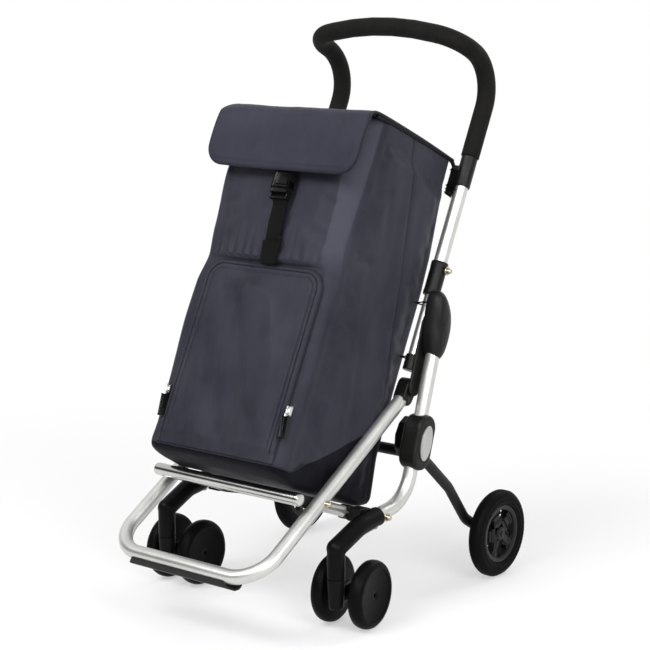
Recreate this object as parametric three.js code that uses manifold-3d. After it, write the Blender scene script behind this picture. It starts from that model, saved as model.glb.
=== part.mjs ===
// Four-wheel shopping trolley: a leaning aluminium back frame carries a fabric bag, a front U-frame and a
// shelf fold up in front of it, two swivelling twin-wheel casters run at the front and two larger wheels
// stand on folding legs at the back.
//
// Millimetres, +Z up, front towards -Y, +X is the user's left. Z = 0 is the ground. While modelling,
// Y = 0 is the caster swivel axis; the last lines move the cart so that Y = 0 is the middle of its length.

import * as THREE from 'three';
import { mergeVertices } from 'three/addons/utils/BufferGeometryUtils.js';
import Module from 'manifold-3d';

const wasm = await Module();
wasm.setup();

// ---------- driving dimensions ----------

const GAP = 0.3; // clearance between pieces that touch
const TUBE_SEGMENTS = 12;
const WHEEL_SEGMENTS = 24;

// The back frame leans back: its own axes are X, "out" (away from the user, square to the tubes) and "up"
// along the tubes, measured from the foot of the back tubes.
const LEAN = THREE.MathUtils.degToRad(26.1);
const BACK_FOOT = [243.7, 406.3]; // Y and Z of the foot
const BACK_X = 165;
const UPPER_RADIUS = 12.5;
const LOWER_RADIUS = 11;
const TUBE_WALL = 1.6;
const GRIP_RADIUS = 15.2;
const SLEEVE = { low: 138, high: 200, radius: 15.5 };
const COLLAR = { low: 342, high: 400, radius: 15 };
const HANDLE_TOP = 571;
const HANDLE_REACH = 127;
const HANDLE_BENDS = [75, 48, 600, 48, 75];

// Pivots, as Y and Z.
const LEG_PIVOT = [280, 483];
const KNEE_PIVOT = [238, 378];
const SHELF_PIVOT = [0, 219];
const FOOT_BOLT = [122, 175];
const REAR_HINGE = [220.7, 287];

// Front U-frame, shelf and legs.
const FRONT_X = 163;
const FRONT_TOP = [226, 360.4];
const FRONT_BAR = [-168, 122.7];
const FRONT_BEND = 62;
const SHELF_BAR = { at: [-53.8, 236.2], radius: 11, half: 163.7 };
const RAIL_X = 139.5;
const RAIL_RADIUS = 10;
const RAIL_END = [112, 172];
const LEG_X = 196;
const LEG_RADIUS = 12.5;

// Wheels.
const CASTER = { x: 194, top: 161, seam: 94.5, radius: 59, trail: 50, width: 26, inner: 24, post: 15.5 };
const CASTER_SWIVEL = { left: 7, right: 1 }; // degrees at rest
const REAR_WHEEL = { at: [428, 80], radius: 80, rim: 53, low: 216, high: 246 };
const REAR_LEG_X = 198;

// Bag, in the leaning axes.
const BAG = { half: 145, high: 366, wall: 3, corner: 8, pocketFace: 251 };
// Side view of the bag as out and up, from the top of the back down, forward and up the front. The base
// stands out in front of the pocket and slopes so that it rests along the shelf.
const BAG_OUTLINE = [
  [9, 366], [0, 60], [-10, -60], [-14, -150], [-20, -232], [-6, -254], [198, -268], [238, -264],
  [249, -246], [250, 92], [264, 250], [264, 366],
];
const LID = {
  half: 149.4, back: 20, low: 370, rearTop: 386, front: 290, flapHalf: 156, flapLow: 250, flapInner: 280,
};
const POCKET = { half: 130, low: -240, high: 92, depth: 11 };

// ---------- colours ----------

const MATERIALS = {
  aluminium: new THREE.MeshStandardMaterial({ color: 0xc9cac8, roughness: 0.3, metalness: 1 }),
  plastic: new THREE.MeshStandardMaterial({ color: 0x1b1b1c, roughness: 0.55, metalness: 0 }),
  foam: new THREE.MeshStandardMaterial({ color: 0x18181a, roughness: 0.95, metalness: 0 }),
  tyre: new THREE.MeshStandardMaterial({ color: 0x1d1d1e, roughness: 0.75, metalness: 0 }),
  fabric: new THREE.MeshStandardMaterial({ color: 0x3f4049, roughness: 0.8, metalness: 0 }),
  board: new THREE.MeshStandardMaterial({ color: 0x232328, roughness: 0.8, metalness: 0 }),
  steel: new THREE.MeshStandardMaterial({ color: 0xb5ad98, roughness: 0.35, metalness: 1 }),
  badge: new THREE.MeshStandardMaterial({ color: 0xc4c5c7, roughness: 0.4, metalness: 0.6 }),
};

// ---------- geometry helpers ----------

function toSolid(geometry) {
  const bare = geometry.clone();
  bare.deleteAttribute('normal');
  bare.deleteAttribute('uv');
  const welded = mergeVertices(bare, 1e-4);
  return new wasm.Manifold(new wasm.Mesh({
    numProp: 3,
    vertProperties: Float32Array.from(welded.attributes.position.array),
    triVerts: Uint32Array.from(welded.index.array),
  }));
}

function toGeometry(solid) {
  const mesh = solid.getMesh();
  const geometry = new THREE.BufferGeometry();
  geometry.setAttribute('position', new THREE.BufferAttribute(mesh.vertProperties, 3));
  geometry.setIndex(new THREE.BufferAttribute(mesh.triVerts, 1));
  geometry.computeVertexNormals();
  return geometry;
}

// Joins the first list of shapes and cuts the second list from the result.
function build(joined, cut = []) {
  let solid = toSolid(joined[0]);
  for (const piece of joined.slice(1)) solid = solid.add(toSolid(piece));
  for (const piece of cut) solid = solid.subtract(toSolid(piece));
  return toGeometry(solid);
}

// A curve that knows its stations, so that straight runs cost one step and bends cost a few.
class StationCurve extends THREE.Curve {
  constructor(points, tangents) {
    super();
    this.points = points;
    this.tangents = tangents;
  }

  station(u) {
    return Math.round(u * (this.points.length - 1));
  }

  getPoint(t) {
    return this.points[this.station(t)].clone();
  }

  getPointAt(u) {
    return this.getPoint(u);
  }

  getTangentAt(u) {
    return this.tangents[this.station(u)].clone();
  }
}

// A path through corners, each rounded with its own bend radius.
function bentPath(corners, bendRadii, steps = 5) {
  const at = corners.map((corner) => new THREE.Vector3(...corner));
  const directions = at.slice(1).map((point, i) => point.clone().sub(at[i]).normalize());
  const points = [at[0]];
  const tangents = [directions[0]];
  bendRadii.forEach((radius, i) => {
    const before = directions[i];
    const angle = before.angleTo(directions[i + 1]);
    const inward = directions[i + 1].clone()
      .addScaledVector(before, -Math.cos(angle))
      .divideScalar(Math.sin(angle));
    const start = at[i + 1].clone().addScaledVector(before, -radius * Math.tan(angle / 2));
    for (let step = 0; step <= steps; step++) {
      const turn = (angle * step) / steps;
      const point = start.clone().addScaledVector(before, radius * Math.sin(turn));
      points.push(point.addScaledVector(inward, radius * (1 - Math.cos(turn))));
      const tangent = before.clone().multiplyScalar(Math.cos(turn));
      tangents.push(tangent.addScaledVector(inward, Math.sin(turn)));
    }
  });
  points.push(at[at.length - 1]);
  tangents.push(directions[directions.length - 1]);
  return new StationCurve(points, tangents);
}

function ring(radius, bore = 0) {
  const shape = new THREE.Shape();
  shape.absarc(0, 0, radius, 0, 2 * Math.PI);
  if (bore > 0) shape.holes.push(new THREE.Path().absarc(0, 0, bore, 0, 2 * Math.PI, true));
  return shape;
}

// A full circle takes two segments for each of its curveSegments.
function sweep(shape, path, segments = TUBE_SEGMENTS) {
  const steps = path.points.length - 1;
  return new THREE.ExtrudeGeometry(shape, { steps, curveSegments: segments / 2, extrudePath: path });
}

function tube(corners, bendRadii, radius, wall, steps = 5) {
  return sweep(ring(radius, wall > 0 ? radius - wall : 0), bentPath(corners, bendRadii, steps));
}

function rod(from, to, radius, segments = TUBE_SEGMENTS) {
  return sweep(ring(radius), bentPath([from, to], []), segments);
}

// A side-view outline, drawn in Y and Z, given thickness along X.
function plate(outline, x0, x1, bevel = 0) {
  const drawn = Array.isArray(outline);
  const shape = drawn ? new THREE.Shape(outline.map(([y, z]) => new THREE.Vector2(y, z))) : outline;
  const low = Math.min(x0, x1) + bevel;
  const geometry = new THREE.ExtrudeGeometry(shape, {
    depth: Math.abs(x1 - x0) - 2 * bevel,
    curveSegments: 5,
    bevelEnabled: bevel > 0,
    bevelThickness: bevel,
    bevelSize: bevel,
    bevelOffset: -bevel,
    bevelSegments: 2,
  });
  const axes = [new THREE.Vector3(0, 1, 0), new THREE.Vector3(0, 0, 1), new THREE.Vector3(1, 0, 0)];
  return geometry.applyMatrix4(new THREE.Matrix4().makeBasis(...axes)).translate(low, 0, 0);
}

// An outline with round ends about two points in the side view: the shape of a link or a strap.
function link([y0, z0], [y1, z1], r0, r1) {
  const along = Math.atan2(z1 - z0, y1 - y0);
  const shape = new THREE.Shape();
  shape.absarc(y0, z0, r0, along + Math.PI / 2, along + 1.5 * Math.PI);
  shape.absarc(y1, z1, r1, along - Math.PI / 2, along + Math.PI / 2);
  return shape;
}

function pin([y, z], x0, x1, radius, segments = TUBE_SEGMENTS) {
  return new THREE.CylinderGeometry(radius, radius, Math.abs(x1 - x0), segments)
    .rotateZ(Math.PI / 2)
    .translate((x0 + x1) / 2, y, z);
}

// A lathed profile of [radius, distance] pairs, turned so that distance runs along X on the given side.
function turned(profile, side, [y, z], segments = TUBE_SEGMENTS) {
  const points = profile.map(([radius, distance]) => new THREE.Vector2(radius, distance));
  return new THREE.LatheGeometry(points, segments, Math.PI / segments)
    .rotateZ((-side * Math.PI) / 2)
    .translate(0, y, z);
}

function box(x0, x1, y0, y1, z0, z1) {
  return new THREE.BoxGeometry(Math.abs(x1 - x0), Math.abs(y1 - y0), Math.abs(z1 - z0))
    .translate((x0 + x1) / 2, (y0 + y1) / 2, (z0 + z1) / 2);
}

// A box in the leaning axes, given by X, out and up.
function leaningBox(x0, x1, out0, out1, up0, up1) {
  return box(x0, x1, -out0, -out1, up0, up1);
}

function roundedPanel(half, back, front, corner) {
  const shape = new THREE.Shape();
  shape.moveTo(-half, -back);
  shape.lineTo(-half, -front + corner);
  shape.absarc(-half + corner, -front + corner, corner, Math.PI, 1.5 * Math.PI);
  shape.absarc(half - corner, -front + corner, corner, 1.5 * Math.PI, 2 * Math.PI);
  shape.lineTo(half, -back);
  return shape;
}

const cart = new THREE.Group();
const leaning = new THREE.Group();
leaning.rotation.x = -LEAN;
leaning.position.set(0, ...BACK_FOOT);
cart.add(leaning);

function add(group, name, geometry, material) {
  const mesh = new THREE.Mesh(geometry, MATERIALS[material]);
  mesh.name = name;
  group.add(mesh);
}

const SIDES = [['left', 1], ['right', -1]];

// ---------- back frame and handle ----------

function handlePath() {
  const start = SLEEVE.low + 34;
  const rise = 26;
  const forward = HANDLE_REACH + 18;
  return [
    [BACK_X, 0, start],
    [BACK_X, 0, HANDLE_TOP],
    [BACK_X, -HANDLE_REACH, HANDLE_TOP],
    [0, -forward, HANDLE_TOP + rise],
    [-BACK_X, -HANDLE_REACH, HANDLE_TOP],
    [-BACK_X, 0, HANDLE_TOP],
    [-BACK_X, 0, start],
  ];
}

function addHandle() {
  const corners = handlePath();
  add(leaning, 'handle_tube', tube(corners, HANDLE_BENDS, UPPER_RADIUS, TUBE_WALL, 3), 'aluminium');
  const gripStart = COLLAR.high + 1;
  corners[0][2] = gripStart;
  corners[corners.length - 1][2] = gripStart;
  const wall = GRIP_RADIUS - UPPER_RADIUS - GAP;
  add(leaning, 'handle_grip', tube(corners, HANDLE_BENDS, GRIP_RADIUS, wall, 3), 'foam');
}

function addBackTubes(name, side) {
  const x = side * BACK_X;
  const joint = SLEEVE.low + 32;
  const lower = tube([[x, 0, 2], [x, 0, joint]], [], LOWER_RADIUS, TUBE_WALL);
  add(leaning, `back_tube_${name}`, lower, 'aluminium');

  // The sleeve joins the lower tube to the wider handle tube, and a bolt clamps it.
  const boltUp = SLEEVE.high - 14;
  const boltAt = [0, boltUp];
  const sleeve = build(
    [rod([x, 0, SLEEVE.low], [x, 0, SLEEVE.high], SLEEVE.radius)],
    [
      rod([x, 0, SLEEVE.low - 1], [x, 0, joint], LOWER_RADIUS + GAP),
      rod([x, 0, joint - 1], [x, 0, SLEEVE.high + 1], UPPER_RADIUS + GAP),
      pin(boltAt, x, x + side * 20, 3.4, 12),
    ],
  );
  add(leaning, `tube_sleeve_${name}`, sleeve, 'plastic');
  const start = BACK_X + UPPER_RADIUS + GAP;
  const head = BACK_X + SLEEVE.radius + GAP;
  const bolt = [[0, start], [3, start], [3, head], [6, head], [6, head + 3], [4, head + 8], [0, head + 9]];
  add(leaning, `sleeve_bolt_${name}`, turned(bolt, side, boltAt, 12), 'steel');

  // The collar below the grip carries a lug that the bag's back edge hangs from.
  const lugInner = side * 128;
  const collar = build(
    [
      rod([x, 0, COLLAR.low], [x, 0, COLLAR.high], COLLAR.radius),
      leaningBox(lugInner, x, -15, -5, COLLAR.low + 16, COLLAR.high - 14),
    ],
    [rod([x, 0, COLLAR.low - 1], [x, 0, COLLAR.high + 1], UPPER_RADIUS + GAP)],
  );
  add(leaning, `collar_${name}`, collar, 'plastic');
}

// The side arm holds the tube's foot, the knee pin inboard and the leg pivot pin outboard.
function addSideArm(name, side) {
  const inner = side * (BACK_X + LOWER_RADIUS + 0.8);
  const outer = side * 181.3;
  const onTube = (up) => [
    side * BACK_X,
    BACK_FOOT[0] + Math.sin(LEAN) * up,
    BACK_FOOT[1] + Math.cos(LEAN) * up,
  ];
  const socketRadius = 14;
  const arm = build(
    [
      plate(link(KNEE_PIVOT, LEG_PIVOT, 16, 22), inner, outer),
      rod(onTube(-1.5), onTube(27), socketRadius),
      pin(KNEE_PIVOT, side * 152, inner + side, 5),
      pin(LEG_PIVOT, outer - side, side * 197, 7),
    ],
    [rod(onTube(1.5), onTube(29), LOWER_RADIUS + GAP)],
  );
  add(cart, `side_arm_${name}`, arm, 'plastic');
}

// ---------- front U-frame ----------

function frontLine(y) {
  const slope = (FRONT_TOP[1] - FRONT_BAR[1]) / (FRONT_TOP[0] - FRONT_BAR[0]);
  return FRONT_BAR[1] + (y - FRONT_BAR[0]) * slope;
}

function addFrontFrame() {
  const corners = [
    [FRONT_X, ...FRONT_TOP],
    [FRONT_X, ...FRONT_BAR],
    [-FRONT_X, ...FRONT_BAR],
    [-FRONT_X, ...FRONT_TOP],
  ];
  const bar = tube(corners, [FRONT_BEND, FRONT_BEND], UPPER_RADIUS, TUBE_WALL, 4);
  const bores = SIDES.map(([, side]) => pin(SHELF_PIVOT, side * 140, side * 190, 3.8, 12));
  add(cart, 'front_tube', build([bar], bores), 'aluminium');

  // The foot plate lies under the bar, stands out behind it and widens towards its lower edge.
  const [y, z] = FRONT_BAR;
  const outline = [
    [y - 14.5, z - 4], [y - 10, z - 17], [y + 2, z - 23], [y + 14, z - 23], [y + 34, z - 14],
    [y + 33, z - 10.5], [y + 13.5, z - 18.5], [y + 2.5, z - 18.5], [y - 7.5, z - 13.5], [y - 12, z - 4],
  ];
  const halfAtBar = 100;
  const halfBelow = 118.5;
  const slantedEnds = SIDES.map(([, side]) => new THREE.ExtrudeGeometry(new THREE.Shape([
    new THREE.Vector2(side * halfAtBar, z), new THREE.Vector2(side * halfBelow, z - 24),
    new THREE.Vector2(side * (halfBelow + 20), z - 24), new THREE.Vector2(side * (halfBelow + 20), z),
  ]), { depth: 80, bevelEnabled: false }).rotateX(Math.PI / 2).translate(0, y + 60, 0));
  add(cart, 'foot_plate', build([plate(outline, -halfBelow, halfBelow)], slantedEnds), 'plastic');

  for (const [name, side] of SIDES) {
    const inner = side * (FRONT_X - UPPER_RADIUS + 1);
    const outer = side * (FRONT_X + UPPER_RADIUS);
    const backFromTop = 8;
    const socketEnd = [FRONT_TOP[0] - backFromTop, frontLine(FRONT_TOP[0] - backFromTop)];
    const x = side * FRONT_X;
    const end = build(
      [
        plate(link(KNEE_PIVOT, FRONT_TOP, 15, 14), inner, outer),
        rod([x, ...FRONT_TOP], [x, ...socketEnd], UPPER_RADIUS + 2),
      ],
      [
        rod([x, FRONT_TOP[0] + 0.3, FRONT_TOP[1] + 0.2], [x, socketEnd[0] - 9, frontLine(socketEnd[0] - 9)],
          UPPER_RADIUS + GAP),
        pin(KNEE_PIVOT, side * 140, side * 190, 5 + GAP),
      ],
    );
    add(cart, `knee_end_${name}`, end, 'plastic');

    const head = FRONT_X + UPPER_RADIUS + GAP;
    const shank = [[0, 132], [3.4, 132], [3.4, head]];
    const bolt = [...shank, [6.5, head], [6.5, head + 3], [4.5, head + 7], [0, head + 8]];
    add(cart, `shelf_bolt_${name}`, turned(bolt, side, SHELF_PIVOT, 12), 'steel');
  }
}

// ---------- shelf under the bag ----------

function addShelf() {
  const { at, radius, half } = SHELF_BAR;
  const soft = 4;
  const profile = [
    [0, -half], [radius - soft, -half], [radius - 1, -half + 1.2], [radius, -half + soft],
    [radius, half - soft], [radius - 1, half - 1.2], [radius - soft, half], [0, half],
  ];
  add(cart, 'shelf_bar', turned(profile, 1, at, 20), 'aluminium');

  const onLine = (y) => at[1] + ((RAIL_END[1] - at[1]) * (y - at[0])) / (RAIL_END[0] - at[0]);
  for (const [name, side] of SIDES) {
    const x = side * RAIL_X;
    const faces = [side * (RAIL_X - 10.5), side * (RAIL_X + 10.2)];
    const railStart = 18;
    add(
      cart,
      `shelf_rail_${name}`,
      tube([[x, railStart, onLine(railStart)], [x, ...RAIL_END]], [], RAIL_RADIUS, TUBE_WALL),
      'aluminium',
    );

    // The front bracket carries the bar and turns on the bolt of the U-frame.
    const front = build(
      [plate(link(at, [railStart - 9, onLine(railStart - 9)], 14, 12), ...faces)],
      [
        pin(at, side * 120, side * 160, radius + GAP, 20),
        pin(SHELF_PIVOT, side * 120, side * 160, 3.4 + GAP, 12),
      ],
    );
    // A plug joins the bracket to the rail without touching its wall.
    const plug = rod([x, railStart - 8, onLine(railStart - 8)], [x, railStart + 16, onLine(railStart + 16)],
      RAIL_RADIUS - TUBE_WALL - GAP);
    const [clearFrom, clearTo] = [railStart - GAP, railStart + 30];
    const clearEnds = [[x, clearFrom, onLine(clearFrom)], [x, clearTo, onLine(clearTo)]];
    const clearRail = rod(...clearEnds, RAIL_RADIUS + GAP);
    const body = build([front], [clearRail]);
    add(cart, `bar_bracket_${name}`, build([body, plug]), 'plastic');

    // The rear bracket caps the rail and reaches out beside the leg.
    const cap = [RAIL_END[0] - 18, onLine(RAIL_END[0] - 18)];
    const tip = [RAIL_END[0] + 20, onLine(RAIL_END[0] + 20) + 2];
    const rear = build(
      [
        plate(link(cap, tip, 12.5, 10.5), ...faces),
        plate([[88, 166], [134, 159], [136, 172], [120, 186], [92, 190]], side * 148, side * 174.5),
      ],
      [rod([x, cap[0] - 30, onLine(cap[0] - 30)], [x, RAIL_END[0] + GAP, onLine(RAIL_END[0] + GAP)],
        RAIL_RADIUS + GAP)],
    );
    add(cart, `rail_bracket_${name}`, rear, 'plastic');
  }
}

// ---------- legs, hinge housings and caster heads ----------

const LEG_TOP = [272, 446];
const LEG_CORNER = [188.5, 187];
const LEG_KNEE = [118, 180];
const LEG_END = [94, 168];

function legLine(z) {
  return LEG_CORNER[0] + ((LEG_TOP[0] - LEG_CORNER[0]) * (z - LEG_CORNER[1])) / (LEG_TOP[1] - LEG_CORNER[1]);
}

function addLegs() {
  const legTilt = Math.atan2(LEG_TOP[0] - LEG_CORNER[0], LEG_TOP[1] - LEG_CORNER[1]);
  for (const [name, side] of SIDES) {
    const x = side * LEG_X;
    const alongLeg = (distance) => [
      x,
      REAR_HINGE[0] + Math.sin(legTilt) * distance,
      REAR_HINGE[1] + Math.cos(legTilt) * distance,
    ];
    const socket = 34;
    const upper = [alongLeg(socket), [x, ...LEG_TOP]];
    add(cart, `upper_leg_${name}`, tube(upper, [], LEG_RADIUS, TUBE_WALL), 'aluminium');

    const lowerCorners = [alongLeg(-socket), [x, ...LEG_CORNER], [x, ...LEG_KNEE], [x, ...LEG_END]];
    const lower = build(
      [tube(lowerCorners, [70, 40], LEG_RADIUS, TUBE_WALL, 3)],
      [pin(FOOT_BOLT, side * 180, side * 212, 3.8, 12)],
    );
    add(cart, `lower_leg_${name}`, lower, 'aluminium');

    const outside = LEG_X + LEG_RADIUS + GAP;
    const bolt = [[0, 182], [3.4, 182], [3.4, outside], [6, outside], [6, outside + 3], [4, outside + 7],
      [0, outside + 8]];
    add(cart, `leg_bolt_${name}`, turned(bolt, side, FOOT_BOLT, 12), 'steel');

    // Oval cover over the leg pivot: a lathed dome stretched along the leg.
    const dome = [[0, 182], [20, 182], [23.5, 184], [24, 200], [21, 209], [14, 214], [0, 216]];
    const stretch = 2.5;
    const points = dome.map(([radius, distance]) => new THREE.Vector2(radius, distance));
    const cover = new THREE.LatheGeometry(points, 24)
      .rotateZ((-side * Math.PI) / 2)
      .scale(1, 1, stretch)
      .translate(0, ...LEG_PIVOT);
    const top = [x, legLine(LEG_TOP[1] + 4), LEG_TOP[1] + 4];
    const below = [x, legLine(400), 400];
    add(
      cart,
      `leg_cover_${name}`,
      build([cover], [rod(below, top, LEG_RADIUS + GAP), pin(LEG_PIVOT, side * 175, side * 198, 7 + GAP)]),
      'plastic',
    );

    addHingeHousing(name, side, alongLeg, socket, legTilt);
    addCasterHead(name, side);
  }
  const crossbar = rod([-144.4, 250, 256], [144.4, 250, 256], 10.5);
  add(cart, 'hinge_crossbar', crossbar, 'plastic');
}

function sector([y, z], radius, fromDegrees, toDegrees) {
  const from = THREE.MathUtils.degToRad(fromDegrees);
  const shape = new THREE.Shape();
  shape.moveTo(y, z);
  shape.lineTo(y + radius * Math.cos(from), z + radius * Math.sin(from));
  shape.absarc(y, z, radius, from, THREE.MathUtils.degToRad(toDegrees));
  return shape;
}

// The housing joins the two leg tubes and holds the rear leg's hub in a slot that is open to the back.
function addHingeHousing(name, side, alongLeg, socket, legTilt) {
  const shell = link(alongLeg(24).slice(1), alongLeg(-24).slice(1), 25, 25);
  const innerBlock = new THREE.Shape();
  innerBlock.absellipse(252, 283, 27, 38, 0, 2 * Math.PI, false, -legTilt);
  const slot = [side * 189.2, side * 206.8];
  const housing = build(
    [
      plate(shell, side * 180, side * 217, 5),
      plate(innerBlock, side * 145, side * 182, 2),
    ],
    [
      rod(alongLeg(socket - GAP), alongLeg(70), LEG_RADIUS + GAP),
      rod(alongLeg(-socket + GAP), alongLeg(-70), LEG_RADIUS + GAP),
      plate(sector(REAR_HINGE, 90, -97, 66), ...slot),
      pin(REAR_HINGE, ...slot, 19.5, 20),
    ],
  );
  const withPin = build([housing, pin(REAR_HINGE, side * 187, side * 209, 6)]);
  add(cart, `hinge_housing_${name}`, withPin, 'plastic');

  const badge = new THREE.Shape();
  badge.absellipse(...REAR_HINGE, 15, 31, 0, 2 * Math.PI, false, -legTilt);
  add(cart, `hinge_badge_${name}`, plate(badge, side * (217 + GAP), side * 219.5, 0.6), 'badge');
}

function addCasterHead(name, side) {
  const { x, top, seam, post } = CASTER;
  const cx = side * x;
  const lx = side * LEG_X;
  const shoulder = [cx, 2, top - 14];
  const arm = tube([[lx, 112, 178], [lx, 58, 171], shoulder], [60], 17, 0, 4);
  const head = build(
    [
      rod([cx, 0, seam + GAP], [cx, 0, top - 10], post, 20),
      new THREE.SphereGeometry(post + 1, 16, 10).translate(cx, 0, top - 14),
      arm,
    ],
    [
      tube(
        [[lx, 140, 182.2], [lx, ...LEG_KNEE], [lx, LEG_END[0] - 0.4, LEG_END[1] - 0.3]],
        [40], LEG_RADIUS + GAP, 0,
      ),
      rod([cx, 0, seam - 1], [cx, 0, seam + 32], 6 + GAP),
    ],
  );
  add(cart, `caster_head_${name}`, head, 'plastic');
}

// ---------- casters ----------

// Each caster is modelled round its swivel axis and then turned on it.
function addCaster(name, side) {
  const { x, seam, radius, trail, width, inner } = CASTER;
  const caster = new THREE.Group();
  caster.position.x = side * x;
  caster.rotation.z = THREE.MathUtils.degToRad(CASTER_SWIVEL[name]);
  cart.add(caster);

  const axle = [trail, radius];
  const plug = 6;
  const stem = [
    [0, 42], [9, 42], [13, 47], [15.4, seam], [plug, seam], [plug, seam + 28], [0, seam + 28],
  ].map(([r, z]) => new THREE.Vector2(r, z));
  const fork = build([
    new THREE.LatheGeometry(stem, 16).rotateX(Math.PI / 2),
    plate(link([2, 70], axle, 18, 12), -7, 7),
    pin(axle, -inner - 14.5, inner + 14.5, 4, 8),
    pin(axle, -inner + 1, inner - 1, 8),
  ]);
  add(caster, `caster_fork_${name}`, fork, 'plastic');

  // Each wheel: a rounded tread, a dished outer face with a small centre dimple and a blind axle bore.
  const rim = radius / Math.cos(Math.PI / WHEEL_SEGMENTS);
  for (const [place, direction] of [['outer', side], ['inner', -side]]) {
    const profile = [
      [0, 15], [4.3, 15], [4.3, 0], [rim - 11, 0], [rim - 3, 3], [rim, 9],
      [rim, width - 9], [rim - 3, width - 3], [rim - 9, width], [rim - 14, width - 2], [0, width - 2],
    ].map(([r, d]) => [r, d + inner]);
    add(caster, `caster_wheel_${name}_${place}`, turned(profile, direction, axle, WHEEL_SEGMENTS), 'tyre');
  }
}

// ---------- rear legs and wheels ----------

function addRearWheel(name, side) {
  const x = side * REAR_LEG_X;
  const { at, radius, rim, low, high } = REAR_WHEEL;
  const corners = [
    [x, ...REAR_HINGE], [x, 243, 250], [x, 318, 184], [x, 372, 114], [x, ...at],
  ];
  const flat = new THREE.Shape();
  flat.absellipse(0, 0, 7.5, 10.5, 0, 2 * Math.PI);
  const path = bentPath(corners, [20, 50, 45], 3);
  const leg = build(
    [
      sweep(flat, path, 12),
      pin(REAR_HINGE, side * 190, side * 206, 18, 20),
      pin(at, side * 190, side * (low - 1.5), 13),
      pin(at, side * 200, side * (high - 6), 5),
    ],
    [pin(REAR_HINGE, side * 180, side * 215, 6 + GAP)],
  );
  add(cart, `rear_leg_${name}`, leg, 'plastic');

  const width = high - low;
  const tread = radius / Math.cos(Math.PI / WHEEL_SEGMENTS);
  const seat = rim + 1;
  const tyre = [
    [seat, 3], [tread - 12, 0], [tread - 4, 4], [tread, 9], [tread, width - 9],
    [tread - 4, width - 4], [tread - 12, width], [seat, width - 3], [seat, 3],
  ].map(([r, d]) => [r, d + low]);
  add(cart, `rear_tyre_${name}`, turned(tyre, side, at, WHEEL_SEGMENTS), 'tyre');

  // The rim: an outer ring, a hub and five spokes with openings between them.
  const outer = rim / Math.cos(Math.PI / WHEEL_SEGMENTS);
  const band = [[outer - 8, 5], [outer, 5], [outer, width - 5], [outer - 8, width - 5], [outer - 8, 5]]
    .map(([r, d]) => [r, d + low]);
  const hub = [[0, 2], [13, 2], [13, width - 8], [10, width - 4], [0, width - 4]]
    .map(([r, d]) => [r, d + low]);
  const spokes = [];
  for (let i = 0; i < 5; i++) {
    const angle = (i / 5) * 2 * Math.PI + 0.3;
    const spoke = box(side * (low + 8), side * (high - 9), -6.5, 6.5, 8, outer - 4);
    spokes.push(spoke.rotateX(angle).translate(0, ...at));
  }
  const wheel = build(
    [turned(band, side, at, WHEEL_SEGMENTS), turned(hub, side, at, 20), ...spokes],
    [pin(at, side * (low - 5), side * (high - 5), 5 + GAP)],
  );
  add(cart, `rear_rim_${name}`, wheel, 'plastic');
}

// ---------- bag, lid and fittings, in the leaning axes ----------

function upright(shape, low, high) {
  return new THREE.ExtrudeGeometry(shape, { depth: high - low, curveSegments: 4, bevelEnabled: false })
    .translate(0, 0, low);
}

function addBag() {
  const { half, high, wall, corner, pocketFace } = BAG;
  // The inside follows the outside one wall thickness in and runs out through the top.
  const bottom = [[-20 + wall, -231], [-4, -250.5], [198, -264.8], [236.5, -261], [246, -245]];
  const inner = [
    [9 + wall, high + 1], [wall, 60], [-10 + wall, -60], [-14 + wall, -150], ...bottom,
    [250 - wall, 92], [264 - wall, 250], [264 - wall, high + 1],
  ];
  const sideView = (outline) => outline.map(([out, up]) => [-out, up]);
  const shell = build(
    [plate(sideView(BAG_OUTLINE), -half, half, corner)],
    [plate(sideView(inner), -half + wall, half - wall)],
  );
  add(leaning, 'bag_body', shell, 'fabric');
  const board = [[14, -249], [196, -264], [196, -259], [14, -244]];
  add(leaning, 'bag_base_board', plate(sideView(board), -half + corner + 2, half - corner - 2), 'board');

  const pocket = new THREE.Shape();
  const rounding = 36;
  pocket.moveTo(-POCKET.half, POCKET.low);
  pocket.lineTo(POCKET.half, POCKET.low);
  pocket.lineTo(POCKET.half, POCKET.high - rounding);
  pocket.absarc(POCKET.half - rounding, POCKET.high - rounding, rounding, 0, Math.PI / 2);
  pocket.absarc(-POCKET.half + rounding, POCKET.high - rounding, rounding, Math.PI / 2, Math.PI);
  const pocketBody = new THREE.ExtrudeGeometry(pocket, {
    depth: POCKET.depth - 4, curveSegments: 4,
    bevelThickness: 2, bevelSize: 4, bevelOffset: -4, bevelSegments: 1,
  }).rotateX(Math.PI / 2).translate(0, -pocketFace - GAP - 2, 0);
  add(leaning, 'bag_pocket', pocketBody, 'fabric');
}

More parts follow.
